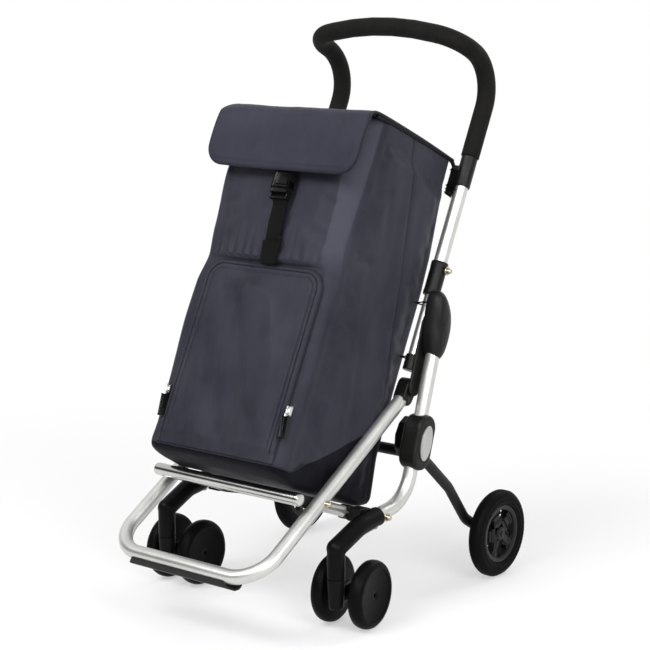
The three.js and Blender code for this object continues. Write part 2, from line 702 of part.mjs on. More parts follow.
function addLid() {
  const { half, back, low, rearTop, front, flapHalf, flapLow, flapInner } = LID;
  const top = [
    [-back, low], [-back, rearTop], [-90, rearTop - 2], [-200, rearTop - 9], [-front + 17, rearTop - 13],
    [-front + 3, rearTop - 20], [-flapInner + 4, low],
  ];
  const flap = [
    [-front + 17, rearTop - 13.5], [-front + 3, rearTop - 20],
    [-front - 5, flapLow + 70], [-front - 2, flapLow],
    [-flapInner, flapLow], [-flapInner - 2, flapLow + 70], [-flapInner + 5, low],
  ];
  add(leaning, 'bag_lid', build([plate(top, -half, half), plate(flap, -flapHalf, flapHalf)]), 'fabric');

  // The buckle's socket hangs from the flap, open below and towards the bag; the tongue sits inside it.
  const [inside, outside] = [flapInner - 6, flapInner + 5];
  const socket = build(
    [leaningBox(-17, 17, inside, outside, 212, flapLow - GAP)],
    [leaningBox(-14, 14, inside - 3, outside - 3, 210, flapLow - 6)],
  );
  add(leaning, 'buckle_socket', socket, 'plastic');
  const tongueOut = [inside - 2, inside + 3];
  const tongue = build([
    leaningBox(-13, -8, ...tongueOut, 196, flapLow - 9),
    leaningBox(8, 13, ...tongueOut, 196, flapLow - 9),
    leaningBox(-2.5, 2.5, ...tongueOut, 196, flapLow - 11),
    leaningBox(-16, 16, inside - 3, inside + 5, 192, 209),
  ]);
  add(leaning, 'buckle_tongue', tongue, 'plastic');
}

function addZipSlider(name, x) {
  const face = BAG.pocketFace + GAP;
  const slider = build([
    leaningBox(x - 5, x + 5, face, face + 4, -158, -143),
    leaningBox(x - 1.5, x + 1.5, face + 2, face + 6, -155, -146),
    leaningBox(x - 5, x + 5, face + 4.5, face + 6.5, -194, -150),
  ]);
  add(leaning, `zip_slider_${name}`, slider, 'steel');
}

// ---------- assembly ----------

addHandle();
for (const [name, side] of SIDES) {
  addBackTubes(name, side);
  addSideArm(name, side);
}
addFrontFrame();
addShelf();
addLegs();
for (const [name, side] of SIDES) {
  addCaster(name, side);
  addRearWheel(name, side);
}
addBag();
addLid();
addZipSlider('left', 136);
addZipSlider('right', -136);

const bounds = new THREE.Box3().setFromObject(cart, true);
cart.position.y = -(bounds.min.y + bounds.max.y) / 2;

export default cart;
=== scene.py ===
"""Looks of a folding shopping trolley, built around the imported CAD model."""

import math

import bmesh
import bpy
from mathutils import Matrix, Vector, noise


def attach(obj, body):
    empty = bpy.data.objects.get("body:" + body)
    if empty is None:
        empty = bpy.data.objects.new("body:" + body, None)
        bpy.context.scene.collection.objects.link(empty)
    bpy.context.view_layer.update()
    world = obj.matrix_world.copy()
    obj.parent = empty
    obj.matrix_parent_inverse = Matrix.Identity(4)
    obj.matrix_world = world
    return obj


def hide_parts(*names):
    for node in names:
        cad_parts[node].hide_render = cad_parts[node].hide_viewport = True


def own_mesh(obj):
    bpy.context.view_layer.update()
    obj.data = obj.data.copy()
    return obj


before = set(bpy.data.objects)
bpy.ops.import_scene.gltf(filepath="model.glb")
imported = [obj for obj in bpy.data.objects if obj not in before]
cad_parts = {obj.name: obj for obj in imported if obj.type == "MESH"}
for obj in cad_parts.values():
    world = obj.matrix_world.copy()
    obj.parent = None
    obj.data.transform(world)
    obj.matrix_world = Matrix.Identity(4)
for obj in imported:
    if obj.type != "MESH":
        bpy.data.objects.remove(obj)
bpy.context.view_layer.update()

MM = 0.001
SIDES = (("left", 1), ("right", -1))

# ---------- driving dimensions (millimetres) ----------
# "Side view" numbers are Y and Z with Y = 0 at the caster posts; the record's frame lies SHIFT further back.
# The back frame leans: its own axes are X, out (away from the user, square to the tubes) and up along them.

SHIFT = 162.75
LEAN = math.radians(26.1)
BACK_FOOT = (243.7, 406.3)
BACK_X = 165
UPPER_RADIUS = 12.5
LOWER_RADIUS = 11
GRIP_RADIUS = 16.6
BACK_TUBE_ENDS = (2, 170)
SLEEVE_LOW, SLEEVE_BOLT_UP, SLEEVE_RADIUS = 138, 186, 15.5
COLLAR_HIGH = 400
HANDLE_LOW, HANDLE_TOP, HANDLE_REACH = 172, 571, 127
HANDLE_BOW_REACH, HANDLE_BOW_RISE = 18, 26
HANDLE_BENDS = (75, 48, 600, 48, 75)

SHELF_PIVOT = (0, 219)
FOOT_BOLT = (122, 175)
REAR_HINGE = (220.7, 287)
FRONT_X, FRONT_TOP, FRONT_BAR, FRONT_BEND = 163, (226, 360.4), (-168, 122.7), 62
SHELF_BAR = (-53.8, 236.2)
RAIL_X, RAIL_RADIUS, RAIL_START, RAIL_END = 139.5, 10, 18, (112, 172)
CRADLE_END = 12
LEG_X, LEG_RADIUS = 196, 12.5
LEG_TOP, LEG_CORNER, LEG_KNEE, LEG_END = (272, 446), (188.5, 187), (118, 180), (94, 168)
LEG_BENDS = (70, 40)
CASTER_X = 194
CASTER_RADIUS, CASTER_TRAIL, CASTER_INNER, CASTER_WEB_Z = 59, 50, 24, 64
CASTER_SWIVEL = {"left": 7, "right": 1}
REAR_AT, REAR_RADIUS, REAR_LOW, REAR_HIGH, REAR_RIM = (428, 80), 80, 216, 246, 53
REAR_SPOKES, REAR_SPOKE_START = 5, 0.3

# The hinge's badge: a plate and a raised field, each with two half sizes, two X and its easing.
BADGE_LAYERS = ((15, 31, 217.3, 219.5, 0.9), (11.5, 27, 219.4, 220.0, 0.3))

# The leg cover's outline in side view, egg-shaped and fuller towards the back.
COVER = ((284, 547), (299, 531), (311, 504), (311, 474), (298, 446), (280, 423), (264, 423), (255, 440),
         (253, 464), (255, 488), (262, 522), (271, 542))
COVER_STATIONS = ((182, 5), (183.5, 1.5), (187, 0), (199, 0), (203, 1), (206.5, 3.5), (209.5, 7.5), (212, 13),
                  (213.8, 20), (214.8, 28), (215, 36))

BAG_HALF = 145
BAG_BOTTOM = ((-10, -253), (4, -254), (198, -269), (240, -265), (262, -262))
BAG_MOUTH = ((0, 381.5), (60, 381), (120, 379), (180, 375.4), (230, 372), (262, 367.5))
BAG_BACK = ((-268, -2), (-252, -20), (-232, -27), (-199, -20), (-163, -12), (-60, -7), (50, -6), (143, -6),
            (204, -2), (265, 7), (315, 14), (355, 20), (385, 21))
BAG_FRONT = ((-269, 232), (-260, 246), (-248, 251), (92, 250.5), (250, 263), (385, 264))
BAG_GRID = (44, 38, 92)
BAG_CLOTH = 0.0016
BASE_ROUND = 14
# The bag's upright corners: at the back, near front below and above the pocket's top, and far front.
CORNER_BACK, CORNER_NEAR, CORNER_FAR = 10, (22, 40), 12
# The dark base starts at a seam that is level along the front and climbs along the sides.
BASE_SEAM, BASE_CORNER, BASE_SLOPE = -245, 217, 0.70
# The stitched seam of the side panels leans slightly forward: its out at a height, and out gained per up.
SIDE_SEAM_OUT, SIDE_SEAM_UP, SIDE_SEAM_LEAN = 77, 109, 0.25

POCKET_HALF, POCKET_LOW, POCKET_HIGH, POCKET_CORNER = 130, -243, 92, 38
POCKET_OUT, POCKET_GRID = 250.6, (150, 170)
ZIP_INSET, ZIP_OUT, PIPING_INSET, PIPING_OUT = 8.5, 256.4, 1.0, 252.0
LID_PATH = ((20, 385.0), (60, 384.5), (120, 382.5), (180, 378.8), (230, 375.6), (258, 373.4), (270, 371.6),
            (280, 367.5), (287, 361), (291, 350), (294, 330), (295, 305), (293.5, 275), (291, 251))
LID_GRID, LID_CORNER, LID_HALF, FLAP_HALF_NEAR, FLAP_HALF_FAR = (110, 150), 34, (146, 149), 156.5, 167
STRAP_X = 4.5
ZIP_X = 135.5
TIE = ((143, 6, 0), (148, 0, 0), (156, -8, 1), (165, -12.6, 2), (173, -9, 3), (177, 0, 4), (172, 9.5, 3),
       (163, 13, 2), (152, 11, 0), (143, 12, -1))
TIE_HEIGHTS = (120, 20)

CLOTH_SETTINGS = {"quality": 6, "mass": 0.25, "tension_stiffness": 12, "compression_stiffness": 12,
                  "shear_stiffness": 5, "bending_stiffness": 0.6, "air_damping": 3, "use_pressure": True,
                  "uniform_pressure_force": 2.5, "shrink_min": -0.018, "vertex_group_mass": "pinned"}
CLOTH_FRAMES = 20
CLOTH_TRAVEL = 0.009

# The floor's half size and how far it lies below the wheels, and the camera's place: metres.
FLOOR_HALF, FLOOR_DROP = 30, 0.0005
CAMERA_AT, CAMERA_TURN, CAMERA_PITCH, CAMERA_LENS = (2.008, -2.283, 1.058), 38.83, 10.37, 101.04


def side(x, y, z):
    """A side-view point as metres in the record's frame."""
    return Vector((x, y - SHIFT, z)) * MM


def lean(x, out, up):
    """A point of the leaning axes as metres in the record's frame."""
    y = BACK_FOOT[0] - math.cos(LEAN) * out + math.sin(LEAN) * up
    z = BACK_FOOT[1] + math.sin(LEAN) * out + math.cos(LEAN) * up
    return side(x, y, z)


OUT = lean(0, 1000, 0) - lean(0, 0, 0)
UP = lean(0, 0, 1000) - lean(0, 0, 0)
ACROSS = Vector((1, 0, 0))
SKY = Vector((0, 0, 1))
LEANING = (ACROSS, OUT, UP)


def leaning_numbers(point):
    """X, out and up in millimetres of a point in metres."""
    offset = (point - lean(0, 0, 0)) / MM
    return offset.x, offset.dot(OUT), offset.dot(UP)


def lerp(a, b, t):
    return a + (b - a) * t


def along(table, at):
    """Linear look-up in a table of (place, value) pairs."""
    for (p0, v0), (p1, v1) in zip(table, table[1:]):
        if at <= p1:
            return lerp(v0, v1, max(0, (at - p0) / (p1 - p0)))
    return table[-1][1]


def smooth_step(a, b, x):
    t = min(1, max(0, (x - a) / (b - a)))
    return t * t * (3 - 2 * t)


def hump(x, width):
    """A bell curve of height 1."""
    return math.exp(-(x / width) ** 2)


def fold_noise(x, y, z, seed):
    return noise.noise(Vector((x + seed * 17.3, y - seed * 5.1, z + seed * 9.7)))


# ---------- materials ----------


def new_material(name):
    """A node material, with its node tree and its principled shader."""
    material = bpy.data.materials.new(name)
    material.use_nodes = True
    return material, material.node_tree, shader_of(material)


def shader_of(material):
    return next(n for n in material.node_tree.nodes if n.type == "BSDF_PRINCIPLED")


def feed(tree, made, inputs):
    """Sets each of a node's inputs to a value or links it to another node's socket."""
    for key, value in inputs.items():
        if hasattr(value, "links"):
            tree.links.new(value, made.inputs[key])
        else:
            made.inputs[key].default_value = value


def node(tree, kind, inputs=None, **settings):
    """Adds a shader node of a kind, with its settings made before its inputs."""
    made = tree.nodes.new("ShaderNode" + kind)
    for key, value in settings.items():
        setattr(made, key, value)
    feed(tree, made, inputs or {})
    return made


def connect(tree, bsdf, **sockets):
    """Feeds a shader, whose inputs are named with underscores."""
    feed(tree, bsdf, {key.replace("_", " "): value for key, value in sockets.items()})


def ramp(tree, value, stops):
    made = node(tree, "ValToRGB", {"Fac": value})
    elements = made.color_ramp.elements
    elements[0].position, elements[0].color = stops[0][0], (*stops[0][1], 1)
    elements[1].position, elements[1].color = stops[-1][0], (*stops[-1][1], 1)
    for position, color in stops[1:-1]:
        elements.new(position).color = (*color, 1)
    return made.outputs["Color"]


def grey(value):
    return (value, value, value)


def grey_ramp(tree, value, *stops):
    return ramp(tree, value, [(position, grey(shade)) for position, shade in stops])


def object_place(tree):
    return node(tree, "TexCoord").outputs["Object"]


def coordinates(tree, scale=(1, 1, 1)):
    return node(tree, "Mapping", {"Vector": object_place(tree), "Scale": scale}).outputs["Vector"]


def clouds(tree, scale, detail=4.0, roughness=0.55, stretch=(1, 1, 1)):
    inputs = {"Vector": coordinates(tree, stretch), "Scale": scale, "Detail": detail, "Roughness": roughness}
    return node(tree, "TexNoise", inputs).outputs["Fac"]


def bump(tree, height, strength, distance, normal=None):
    inputs = {"Height": height, "Strength": strength, "Distance": distance}
    if normal is not None:
        inputs["Normal"] = normal
    return node(tree, "Bump", inputs).outputs["Normal"]


def math_node(tree, operation, a, b=0.0):
    return node(tree, "Math", {0: a, 1: b}, operation=operation).outputs[0]


def times(tree, a, b):
    return math_node(tree, "MULTIPLY", a, b)


def minus(tree, a, b):
    return math_node(tree, "SUBTRACT", a, b)


def dot(tree, a, b):
    return node(tree, "VectorMath", {0: a, 1: tuple(b)}, operation="DOT_PRODUCT").outputs["Value"]


def soft_range(tree, value, low, high, start=0.0, end=1.0):
    """Passes softly from start to end while a value passes from low to high."""
    inputs = {"Value": value, "From Min": low, "From Max": high, "To Min": start, "To Max": end}
    return node(tree, "MapRange", inputs, interpolation_type="SMOOTHSTEP").outputs[0]


def mix_color(tree, share, first, second, blend="MIX"):
    inputs = {0: share, 6: first, 7: second}
    return node(tree, "Mix", inputs, data_type="RGBA", blend_type=blend).outputs[2]


def pointiness(tree):
    return node(tree, "NewGeometry").outputs["Pointiness"]


def weave_height(tree, pitch, axes):
    """Over-and-under threads: two crossed waves, one along each of the cloth's axes."""
    point = object_place(tree)
    turns = [times(tree, dot(tree, point, axis), 2 * math.pi / pitch) for axis in axes]
    return times(tree, *[math_node(tree, "SINE", turn) for turn in turns])


def fabric_material(name, dark, light, pitch=0.0011, sheen=0.05, roughness=0.46):
    """Coated woven polyester: fine threads, faint cloudiness, a soft sheen at grazing angles."""
    material, tree, bsdf = new_material(name)
    cloudy = clouds(tree, 9.0, 5.0, 0.6)
    streaks = clouds(tree, 60.0, 3.0, 0.6, (1, 0.35, 0.18))
    mixed = math_node(tree, "ADD", times(tree, cloudy, 0.75), times(tree, streaks, 0.25))
    color = ramp(tree, mixed, [(0.3, dark), (0.72, light)])
    # Painted shade: the colour is darkened in the hollows of folds, where less light falls.
    fold_shade = grey_ramp(tree, pointiness(tree), (0.42, 0.45), (0.5, 1.0), (0.56, 1.0))
    color = mix_color(tree, 1.0, color, fold_shade, "MULTIPLY")
    threads = bump(tree, weave_height(tree, pitch, (ACROSS + OUT * 0.35, UP + OUT * 0.3)), 0.35, 0.00025)
    soft = bump(tree, clouds(tree, 38.0, 4.0, 0.5), 0.18, 0.003, threads)
    rough = grey_ramp(tree, cloudy, (0.3, roughness - 0.07), (0.7, roughness + 0.09))
    connect(tree, bsdf, Base_Color=color, Roughness=rough, Normal=soft, Sheen_Weight=sheen,
            Sheen_Roughness=0.45, Sheen_Tint=(0.72, 0.74, 0.85, 1), Specular_IOR_Level=0.17,
            Specular_Tint=(0.85, 0.85, 1.0, 1))
    return material


def metal_material(name, color, roughness, streak_scale, brushed=0.06, metallic=1.0):
    """Drawn and polished metal: long fine streaks and a slight haze."""
    material, tree, bsdf = new_material(name)
    streaks = clouds(tree, streak_scale, 6.0, 0.7, (1, 0.06, 0.06))
    haze = clouds(tree, 16.0, 5.0, 0.6)
    low, high = [tuple(c * f for c in color) for f in (0.9, 1.05)]
    mixed = math_node(tree, "ADD", times(tree, streaks, 0.5), times(tree, haze, 0.5))
    rough = grey_ramp(tree, mixed, (0.32, roughness - 0.05), (0.7, roughness + 0.09))
    connect(tree, bsdf, Base_Color=ramp(tree, haze, [(0.3, low), (0.7, high)]), Metallic=metallic,
            Roughness=rough, Normal=bump(tree, streaks, brushed, 0.0004), Anisotropic=0.3)
    return material


def plastic_material(name, color, roughness, grain_scale=900.0, grain=0.12, edge=0.008, shine=0.18):
    """Moulded plastic or rubber: fine spark-eroded grain, faint cloudiness, colour lighter on sharp edges."""
    material, tree, bsdf = new_material(name)
    fine = clouds(tree, grain_scale, 3.0, 0.6)
    broad = clouds(tree, 22.0, 4.0, 0.55)
    # The colour is lighter on sharp edges.
    edge_share = grey_ramp(tree, pointiness(tree), (0.5, 0), (0.58, 1))
    base = ramp(tree, broad, [(0.3, tuple(c * 0.82 for c in color)), (0.72, tuple(c * 1.18 for c in color))])
    edged_color = mix_color(tree, edge_share, base, (*[c + edge for c in color], 1))
    rough = grey_ramp(tree, broad, (0.3, roughness - 0.06), (0.7, roughness + 0.08))
    connect(tree, bsdf, Base_Color=edged_color, Roughness=rough, Normal=bump(tree, fine, grain, 0.0004),
            Specular_IOR_Level=shine)
    return material


def webbing_material(name, dark, light):
    """Narrow webbing: coarse threads across and along the strap."""
    material, tree, bsdf = new_material(name)
    ribs = weave_height(tree, 0.0022, (ACROSS, UP))
    connect(tree, bsdf, Base_Color=ramp(tree, ribs, [(0.1, dark), (0.9, light)]), Roughness=0.7,
            Normal=bump(tree, ribs, 0.8, 0.0005), Sheen_Weight=0.02, Sheen_Roughness=0.5,
            Specular_IOR_Level=0.08)
    return material


def foam_material():
    """Closed-cell foam: dense fine pits with no direction, dull, very slightly warm."""
    material, tree, bsdf = new_material("grip_foam")
    cells = node(tree, "TexVoronoi", {"Vector": coordinates(tree), "Scale": 1100.0}).outputs[0]
    broad = clouds(tree, 30.0, 4.0, 0.6)
    pits = bump(tree, cells, 0.45, 0.0004)
    color = ramp(tree, broad, [(0.3, (0.0045, 0.0042, 0.0039)), (0.7, (0.0085, 0.0080, 0.0074))])
    connect(tree, bsdf, Base_Color=color, Roughness=0.82, Normal=bump(tree, broad, 0.1, 0.002, pits),
            Specular_IOR_Level=0.12, Sheen_Weight=0.02)
    return material


fabric = fabric_material("slate_fabric", (0.0118, 0.0115, 0.0202), (0.0352, 0.0345, 0.0470))
flap_fabric = fabric_material("flap_fabric", (0.0155, 0.0155, 0.0255), (0.0340, 0.0340, 0.0515),
                              roughness=0.43)
piping_fabric = fabric_material("piping", (0.008, 0.008, 0.011), (0.016, 0.016, 0.022), pitch=0.0008)
binding_fabric = fabric_material("binding", (0.002, 0.002, 0.0025), (0.005, 0.005, 0.006), 0.0016, 0.03)
webbing = webbing_material("webbing", (0.0015, 0.0015, 0.002), (0.006, 0.006, 0.007))
aluminium = metal_material("satin_aluminium", (0.62, 0.62, 0.60), 0.33, 300.0, 0.05, 0.8)
bright_bar = metal_material("polished_aluminium", (0.60, 0.60, 0.58), 0.17, 260.0, 0.03)
zinc = metal_material("zinc_steel", (0.50, 0.45, 0.34), 0.28, 500.0)
zip_metal = metal_material("zip_metal", (0.66, 0.66, 0.64), 0.28, 700.0)
badge_silver = metal_material("badge_silver", (0.48, 0.48, 0.47), 0.42, 500.0, 0.1, 0.85)
plastic = plastic_material("black_plastic", (0.0062, 0.0060, 0.0058), 0.40)
gloss = plastic_material("buckle_plastic", (0.0030, 0.0030, 0.0030), 0.24, 1500.0, 0.05, 0.004)
caster_plastic = plastic_material("caster_plastic", (0.0036, 0.0036, 0.0038), 0.34, 1100.0, 0.08, 0.004, 0.06)
wheel_rubber = plastic_material("wheel_rubber", (0.0028, 0.0027, 0.0027), 0.40, 700.0, 0.10, 0.003, 0.04)
tyre_rubber = plastic_material("tyre_rubber", (0.0022, 0.0021, 0.0021), 0.55, 800.0, 0.25, 0.002, 0.05)
foam = foam_material()


# ---------- mesh helpers ----------

def from_bmesh(name, shape, material, smooth_angle=35):
    """Makes a smooth-shaded object from a bmesh, with its faces pointing out."""
    mesh = bpy.data.meshes.new(name)
    bmesh.ops.recalc_face_normals(shape, faces=shape.faces)
    shape.to_mesh(mesh)
    shape.free()
    mesh.polygons.foreach_set("use_smooth", [True] * len(mesh.polygons))
    mesh.set_sharp_from_angle(angle=math.radians(smooth_angle))
    mesh.materials.append(material)
    made = bpy.data.objects.new(name, mesh)
    bpy.context.scene.collection.objects.link(made)
    return made


def from_lists(name, points, faces, material, smooth_angle=35):
    mesh = bpy.data.meshes.new(name)
    mesh.from_pydata([tuple(p) for p in points], [], faces)
    shape = bmesh.new()
    shape.from_mesh(mesh)
    bpy.data.meshes.remove(mesh)
    return from_bmesh(name, shape, material, smooth_angle)


def merged(parts):
    """Moves the meshes of several objects into one bmesh."""
    shape = bmesh.new()
    for part in parts:
        shape.from_mesh(part.data)
        bpy.data.objects.remove(part)
    return shape


def place(made, body, *nodes, slot=None):
    """Lets a piece ride on a body, and take the place of CAD nodes if some are named."""
    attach(made, body)
    if nodes:
        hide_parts(*nodes)
    return made


def squash_with_bag(made):
    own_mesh(made)


def store_rest(made):
    """Keeps each point's X, out and up in an attribute, rest, by which the bag's cloth places its seams."""
    attribute = made.data.attributes.new("rest", "FLOAT_VECTOR", "POINT")
    attribute.data.foreach_set("vector", [v.co.dot(axis) for v in made.data.vertices for axis in LEANING])


def place_soft(made, body, *nodes, squash=True, slot=None):
    """Places a soft piece and keeps its rest numbers; unless squash is off, it gets a mesh of its own."""
    store_rest(place(made, body, *nodes, slot=slot))
    if squash:
        squash_with_bag(made)


def apply_modifiers(made):
    """Bakes the object's modifiers into its mesh."""
    graph = bpy.context.evaluated_depsgraph_get()
    graph.update()
    baked = bpy.data.meshes.new_from_object(made.evaluated_get(graph))
    made.modifiers.clear()
    made.data = baked


def cut_corners(points, times_cut=2, closed=False):
    """Rounds a line by cutting off its corners, several times over."""
    for _ in range(times_cut):
        following = points[1:] + points[:1] if closed else points[1:]
        cut = [tuple(lerp(p, q, share) for p, q in zip(a, b))
               for a, b in zip(points, following) for share in (0.25, 0.75)]
        points = cut if closed else [points[0], *cut, points[-1]]
    return points


def bent_path(corners, bends, step):
    """Points and directions along a path with rounded corners, one station for each step of degrees."""
    runs = [(b - a).normalized() for a, b in zip(corners, corners[1:])]
    points, directions = [corners[0]], [runs[0]]
    for i, radius in enumerate(bends):
        before, after = runs[i], runs[i + 1]
        angle = before.angle(after)
        inward = (after - before * math.cos(angle)) / math.sin(angle)
        start = corners[i + 1] - before * (radius * math.tan(angle / 2))
        count = max(2, round(math.degrees(angle) / step))
        for k in range(count + 1):
            turn = angle * k / count
            sine, cosine = math.sin(turn), math.cos(turn)
            points.append(start + before * (radius * sine) + inward * (radius * (1 - cosine)))
            directions.append(before * cosine + inward * sine)
    return points + [corners[-1]], directions + [runs[-1]]


def headings(points):
    """The direction of a line at each of its points."""
    last = len(points) - 1
    return [(points[min(last, i + 1)] - points[max(0, i - 1)]).normalized() for i in range(len(points))]


def tube_faces(count, sides):
    """Quads between neighbouring rings of points, and a cap on the first and the last ring."""
    faces = []
    for i in range(count - 1):
        for k in range(sides):
            a, b = i * sides + k, i * sides + (k + 1) % sides
            faces.append((a, b, b + sides, a + sides))
    faces.append(tuple(range(sides))[::-1])
    faces.append(tuple(range((count - 1) * sides, count * sides)))
    return faces


def sweep(name, points, directions, radius, material, segments=40, flat=1.0, edge=0.0006):
    """A round or flattened bar along a path, in metres, closed and with an eased edge at each end."""
    normal = directions[0].orthogonal()
    rings = []
    for i, (point, direction) in enumerate(zip(points, directions)):
        if i:
            normal = directions[i - 1].rotation_difference(direction) @ normal
        normal = (normal - direction * normal.dot(direction)).normalized()
        other = direction.cross(normal)
        rings.append([point + normal * (radius * math.cos(a)) + other * (radius * flat * math.sin(a))
                      for a in (2 * math.pi * k / segments for k in range(segments))])
    ends = []
    for end, step in ((0, -1), (-1, 1)):
        centre, outward = points[end], directions[end] * (step * edge * 0.7)
        ends.append([centre + (p - centre) * (1 - edge / (p - centre).length) + outward for p in rings[end]])
    rings = [ends[0], *rings, ends[1]]
    verts = [p for ring in rings for p in ring]
    return from_lists(name, verts, tube_faces(len(rings), segments), material, 50)


def tube(name, corners, bends, radius, material, step=5, **options):
    """A round tube along corners in metres, its bends and radius in millimetres."""
    points, directions = bent_path(corners, [b * MM for b in bends], step)
    return sweep(name, points, directions, radius * MM, material, **options)


def frame_tube(cad, corners, bends, radius, body, **options):
    """The aluminium tube that takes the place of a CAD tube; its name keeps left or right at the end."""
    base, _, side_name = cad.rpartition("_")
    name = f"{base}_drawn_{side_name}" if side_name in ("left", "right") else f"{cad}_drawn"
    return place(tube(name, corners, bends, radius, aluminium, **options), body, cad)


def shifted(profile, distance):
    return [(r, d + distance) for r, d in profile]


def lathe(name, profile, centre, axis, material, segments=64, angle=35):
    """Turns a profile of (radius, distance) pairs, in millimetres, about an axis from a centre."""
    u = axis.orthogonal().normalized()
    v = axis.cross(u)
    verts, faces, rings = [], [], []
    for radius, distance in profile:
        middle = centre + axis * (distance * MM)
        turns = [2 * math.pi * k / segments for k in range(segments if radius else 1)]
        rings.append(list(range(len(verts), len(verts) + len(turns))))
        verts += [middle + (u * math.cos(a) + v * math.sin(a)) * (radius * MM) for a in turns]
    pairs = list(zip(rings, rings[1:]))
    if profile[0][0] > 0 and profile[-1][0] > 0:
        pairs.append((rings[-1], rings[0]))
    for lower, upper in pairs:
        if len(lower) == 1 and len(upper) == 1:
            continue
        for k in range(segments):
            j = (k + 1) % segments
            if len(lower) == 1:
                faces.append((lower[0], upper[j], upper[k]))
            elif len(upper) == 1:
                faces.append((lower[k], lower[j], upper[0]))
            else:
                faces.append((lower[k], lower[j], upper[j], upper[k]))
    return from_lists(name, verts, faces, material, angle)


def ease_edges(shape, edges, width):
    bmesh.ops.bevel(shape, geom=edges, offset=width * MM, segments=3, profile=0.5, affect="EDGES")


def add_block(shape, centre, size, axes, ease):
    """Adds an eased block to a bmesh: centre in metres, size along three axes and easing in millimetres."""
    made = bmesh.ops.create_cube(shape, size=1.0)["verts"]
    for v in made:
        x, y, z = (share * length * MM for share, length in zip(v.co, size))
        v.co = centre + axes[0] * x + axes[1] * y + axes[2] * z
    ease_edges(shape, list({e for v in made for e in v.link_edges}), ease)


def block_piece(name, material, body, nodes, rows, axes=LEANING, squash=True, slot=None):
    """A piece of eased blocks; each row is X, out, up, three sizes and the easing, in millimetres."""
    shape = bmesh.new()
    for x, out, up, *size, ease in rows:
        add_block(shape, lean(x, out, up), size, axes, ease)
    made = place(from_bmesh(name, shape, material), body, *nodes, slot=slot)
    if squash:
        squash_with_bag(made)


def stack_rings(shape, rings):
    """Joins closed rings of points into a solid in a bmesh, and returns its two caps."""
    rings = [[shape.verts.new(p) for p in ring] for ring in rings]
    for a, b in zip(rings, rings[1:]):
        for i in range(len(a)):
            j = (i + 1) % len(a)
            shape.faces.new((a[i], a[j], b[j], b[i]))
    return shape.faces.new(rings[0][::-1]), shape.faces.new(rings[-1])


def outline_prism(shape, outline, x0, x1, ease):
    """Adds a side-view outline (millimetres) with thickness along X to a bmesh, its long edges eased."""
    caps = stack_rings(shape, [[side(x, y, z) for y, z in outline] for x in (x0, x1)])
    ease_edges(shape, list({e for cap in caps for e in cap.edges}), ease)


def domed_plate(shape, outline, stations):
    """Adds a side-view outline swept along X; each station is its X and how far the outline shrinks there."""
    cy = sum(p[0] for p in outline) / len(outline)
    cz = sum(p[1] for p in outline) / len(outline)
    rings = []
    for x, inset in stations:
        rings.append([])
        for y, z in outline:
            length = math.hypot(y - cy, z - cz)
            keep = max(0.02, (length - inset) / length)
            rings[-1].append(side(x, cy + (y - cy) * keep, cz + (z - cz) * keep))
    stack_rings(shape, rings)


def link_outline(a, b, r0, r1, steps=14):
    """Round-ended link about two side-view points."""
    heading = math.atan2(b[1] - a[1], b[0] - a[0])
    points = []
    for (y, z), r, start in ((a, r0, heading + math.pi / 2), (b, r1, heading - math.pi / 2)):
        for k in range(steps + 1):
            t = start + math.pi * k / steps
            points.append((y + r * math.cos(t), z + r * math.sin(t)))
    return points


def ellipse_outline(centre, half_y, half_z, turn, steps=72):
    points = []
    for k in range(steps):
        t = 2 * math.pi * k / steps
        y, z = half_y * math.cos(t), half_z * math.sin(t)
        points.append((centre[0] + y * math.cos(turn) - z * math.sin(turn),
                       centre[1] + y * math.sin(turn) + z * math.cos(turn)))
    return points


def dome_bolt(cad, side_name, centre, axis, body, start):
    """Dome nut: a short shank, a washer, a collar and a domed cap, from a distance along its axis."""
    head = [(0, -6), (3.4, -6), (3.4, 0), (7.2, 0), (7.6, 0.5), (7.2, 1.2), (5.6, 1.3), (5.4, 4.6),
            (4.9, 5.6), (4.3, 7.4), (2.9, 8.8), (1.3, 9.4), (0, 9.5)]
    made = lathe(f"{cad}_dome_{side_name}", shifted(head, start), centre, axis, zinc, 36, 30)
    place(made, body, f"{cad}_{side_name}")


def finish_cad(name, material, voxel, smoothing):
    """Keeps a CAD solid but melts its facets into a moulded surface."""
    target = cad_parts[name]
    remesh = target.modifiers.new("moulded", "REMESH")
    remesh.mode = "VOXEL"
    remesh.voxel_size = voxel * MM
    remesh.use_smooth_shade = True
    soften = target.modifiers.new("soften", "SMOOTH")
    soften.factor = 0.5
    soften.iterations = smoothing
    target.data.materials.clear()
    target.data.materials.append(material)


# ---------- frame tubes, grip and fittings ----------

def handle_line(foot):
    """Corners of the handle, from a height on its left tube over the bow down to that height on the right."""
    left = [(BACK_X, 0, foot), (BACK_X, 0, HANDLE_TOP), (BACK_X, HANDLE_REACH, HANDLE_TOP)]
    bow = (0, HANDLE_REACH + HANDLE_BOW_REACH, HANDLE_TOP + HANDLE_BOW_RISE)
    right = [(-x, out, up) for x, out, up in reversed(left)]
    return [lean(*corner) for corner in (*left, bow, *right)]


def rail_height(y):
    """Height of the shelf's rails, which slope from the bar down to the foot bolts."""
    slope = (RAIL_END[1] - SHELF_BAR[1]) / (RAIL_END[0] - SHELF_BAR[0])
    return SHELF_BAR[1] + slope * (y - SHELF_BAR[0])


